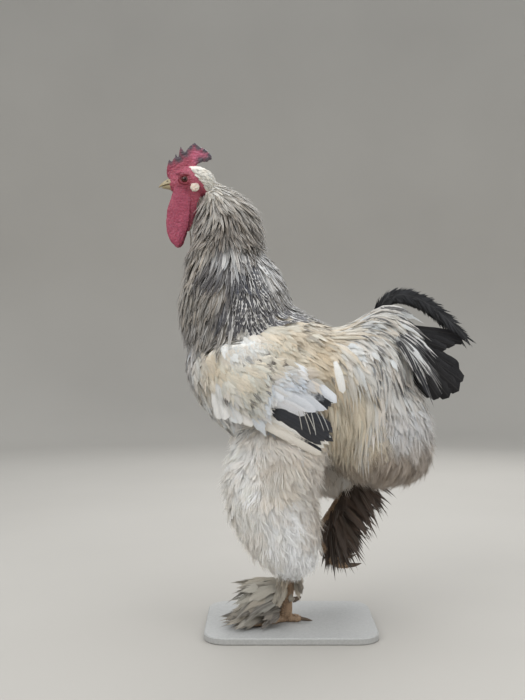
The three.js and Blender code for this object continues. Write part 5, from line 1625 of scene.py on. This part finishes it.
for leg, rows in BOOTS.items():
    hock, ankle = shank_ends(leg)
    rng = np.random.default_rng(111 if leg == "left" else 112)
    paths, outs, halves, colours = [], [], [], []
    for count, (start, stop), beside, apart, heading, spread, long, half, droop, low, colour in rows:
        for k in range(count):
            aside = apart * (1 if rng.random() < 0.5 else -1) * rng.random() ** 0.5
            root = hock + (ankle - hock) * rng.uniform(start, stop) + beside + rng.uniform(-4, 4, 3) + (0, aside, 0)
            way = unit(np.array(heading) + np.array(spread) * rng.uniform(-1, 1, 3) + (0, 0.02 * aside, 0))
            s = np.linspace(0, 1, 6)[:, None]
            size = long * rng.uniform(0.75, 1.12)
            hang = np.array((0, 0, -droop)) * rng.uniform(0.2, 1.4)
            line = root + way * size * s + (hang + (0, 0.15 * rng.uniform(-1, 1), 0)) * size * s * s
            floor = low + 5 * rng.random()
            line[:, 2] = np.where(line[:, 2] < floor, floor + 0.15 * (line[:, 2] - floor), line[:, 2])
            line[:, 2] = np.maximum(line[:, 2], 3.5)
            paths.append(line)
            lean = -1.0 if leg == "left" and aside < 4 else math.copysign(1, aside)
            up = unit(np.array((0.25 * rng.uniform(-1, 1), lean, 0.6)))
            outs.append(np.tile(up, (6, 1)))
            halves.append(half * rng.uniform(0.8, 1.2))
            colours.append(linear(colour))
    path = in_frame(paths)
    count = len(path)
    marks = no_marks(count)
    marks[:, 0] = (rng.random(count) < 0.4) * 0.5
    piece = coat(
        "boot_" + leg, path, unit(np.array(outs)), np.array(halves), spots_near(path[:, 0]),
        varied(np.array(colours), rng, 0.25 if leg == "left" else 0.4, 0.04, 0), marks,
        leaf_forms if leg == "left" else wisp_forms, 113,
    )
    piece.data.materials.append(boot_feathers)

# Claws and spurs: solid horn, thick at the root and curved down to a blunt point. Each claw is a round
# skin let into the end of its toe. The spurs are the part's own solids in the same horn.
claw_horn = mottled("claw_horn", 0.35, 300.0, 3.0, (0.05, 0.035, 0.025), (0.16, 0.11, 0.07), 0.2)[0]


def repaint(node, material):
    """Gives a solid of the part a finish from here."""
    surfaces = bpy.data.objects[node].data.materials
    surfaces.clear()
    surfaces.append(material)


for leg in LEGS:
    repaint("spur_" + leg, claw_horn)
    for toe, (turn, length, radius) in TOES.items():
        axes, foot = foot_frame(leg, turn)
        rows = []
        for i, k in enumerate((0.5, 0.44, 0.28, 0.05)):
            distance = length * 0.98 + 17 * i / 3 - (1.5 if i == 0 else 0)
            middle = toe_point(length, radius, toe_curl(leg, toe), distance)
            middle[2] -= radius * 0.13 * i
            rows.append((*(middle @ axes + foot), radius * k, radius * k, radius * k * 0.8))
        points, faces = tube(rows, 16, 16)
        piece = mesh_object(f"horn_{toe}_{leg}", on_base(leg, points), faces)
        piece.data.shade_smooth()
        piece.data.materials.append(claw_horn)
        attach(piece, "root")
        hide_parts(f"claw_{toe}_{leg}")

# Eyes: a wet dark ball with an orange-brown iris, set deep between the lids. Pupil, iris and rim are
# rings of colour round the middle, under a clear wet film.
eye_gloss, tree, shader = new_material("eye_gloss", 0.06)
inputs = {"Vector": own_place(tree), "Location": (-EYE[0] * MM, 0, -(EYE[2] * MM + GROUND))}
centred = add_node(tree, "ShaderNodeMapping", inputs).outputs["Vector"]
flat = add_node(tree, "ShaderNodeSeparateXYZ", {"Vector": centred}).outputs
disc = add_node(tree, "ShaderNodeCombineXYZ", {"X": flat["X"], "Y": flat["Z"]}).outputs[0]
from_pupil = add_node(tree, "ShaderNodeVectorMath", {0: disc}, operation="LENGTH").outputs["Value"]
reach = add_node(tree, "ShaderNodeMapRange", {"Value": from_pupil, "From Max": EYE_RADIUS * MM}).outputs["Result"]
ramp = add_node(tree, "ShaderNodeValToRGB", {"Fac": reach})
stops = [(0.0, (0.003, 0.002, 0.002, 1)), (0.38, (0.004, 0.003, 0.003, 1)), (0.44, (0.06, 0.012, 0.008, 1)),
         (0.68, (0.1, 0.02, 0.012, 1)), (0.78, (0.03, 0.008, 0.006, 1)), (1.0, (0.03, 0.006, 0.006, 1))]
for spot, colour in stops:
    if spot in (0.0, 1.0):
        ramp.color_ramp.elements[int(spot)].color = colour
    else:
        ramp.color_ramp.elements.new(spot).color = colour
set_inputs(tree, shader, {
    "Base Color": ramp.outputs["Color"], "Specular IOR Level": 0.2, "Coat Weight": 0.35, "Coat Roughness": 0.03,
})
for side, word in ((-1, "left"), (1, "right")):
    points, faces = ball(EYE * (1, side, 1), (EYE_RADIUS,) * 3, 24, 36)
    piece = mesh_object("eyeball_" + word, points, faces)
    piece.data.shade_smooth()
    piece.data.materials.append(eye_gloss)
    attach(piece, "root")
    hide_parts("eye_" + word)

# Beak: two horn sheaths with a fine grain, the upper hooked over the lower. Each is a closed skin through
# upright sections, rooted in the face, and the upper one has a slit for the nostril on each side.
UPPER_BEAK = [
    (-197, 0, 645.4, .8, .5, .8), (-194.5, 0, 647, 2.8, .8, 2.7), (-190, 0, 648.6, 5.4, .8, 4.8),
    (-184, 0, 649.8, 8, .8, 6.8), (-176, 0, 650.6, 10.2, .8, 8.4), (-169, 0, 650.8, 10, .8, 8.4),
]
LOWER_BEAK = [
    (-192.5, 0, 645.4, .4, .8, .8), (-189.5, 0, 646.6, .6, 2.6, 3), (-184, 0, 648, .6, 5, 5.3),
    (-176, 0, 648.9, .6, 8, 7.2), (-169, 0, 649, .6, 9, 7.4),
]
NOSTRIL, NOSTRIL_SIZE = (-183.4, 5.9, 654), (2.5, 3, 1.1)
beak_horn, tree, shader, horn_colour = mottled(
    "beak_horn", 0.35, 200.0, 4.0, (0.24, 0.18, 0.09), (0.46, 0.39, 0.24), 0.25
)
shadow = add_node(tree, "ShaderNodeAttribute", attribute_name="nostril").outputs["Fac"]
set_inputs(tree, shader, {"Base Color": mixed(tree, shadow, horn_colour, (0.02, 0.012, 0.01, 1))})
for name, rows in (("beak_upper", UPPER_BEAK), ("beak_lower", LOWER_BEAK)):
    points, faces = loft(rows, 60, 56, upright=True)
    slit = np.zeros(len(points))
    for side in (-1, 1):
        apart = (points - in_frame(NOSTRIL * np.array((1, side, 1)))) / (np.array(NOSTRIL_SIZE) * MM)
        slit += np.clip(1.3 * (1 - np.linalg.norm(apart, axis=1)), 0, 1)
    points[:, 1] *= 1 - 0.28 * slit
    piece = mesh_object("horn_" + name, points, faces)
    piece.data.attributes.new("nostril", "FLOAT", "POINT").data.foreach_set("value", slit.astype(np.float32))
    piece.data.shade_smooth()
    piece.data.materials.append(beak_horn)
    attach(piece, "root")
    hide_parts(name)

# Base: the plain slab of fine grey stone that carries the standing foot. It is the part's own solid,
# which gets a finish here.
base_stone = mottled("base_stone", 0.75, 350.0, 5.0, (0.34, 0.34, 0.33), (0.5, 0.5, 0.49), 0.15)[0]
repaint("stand_base", base_stone)
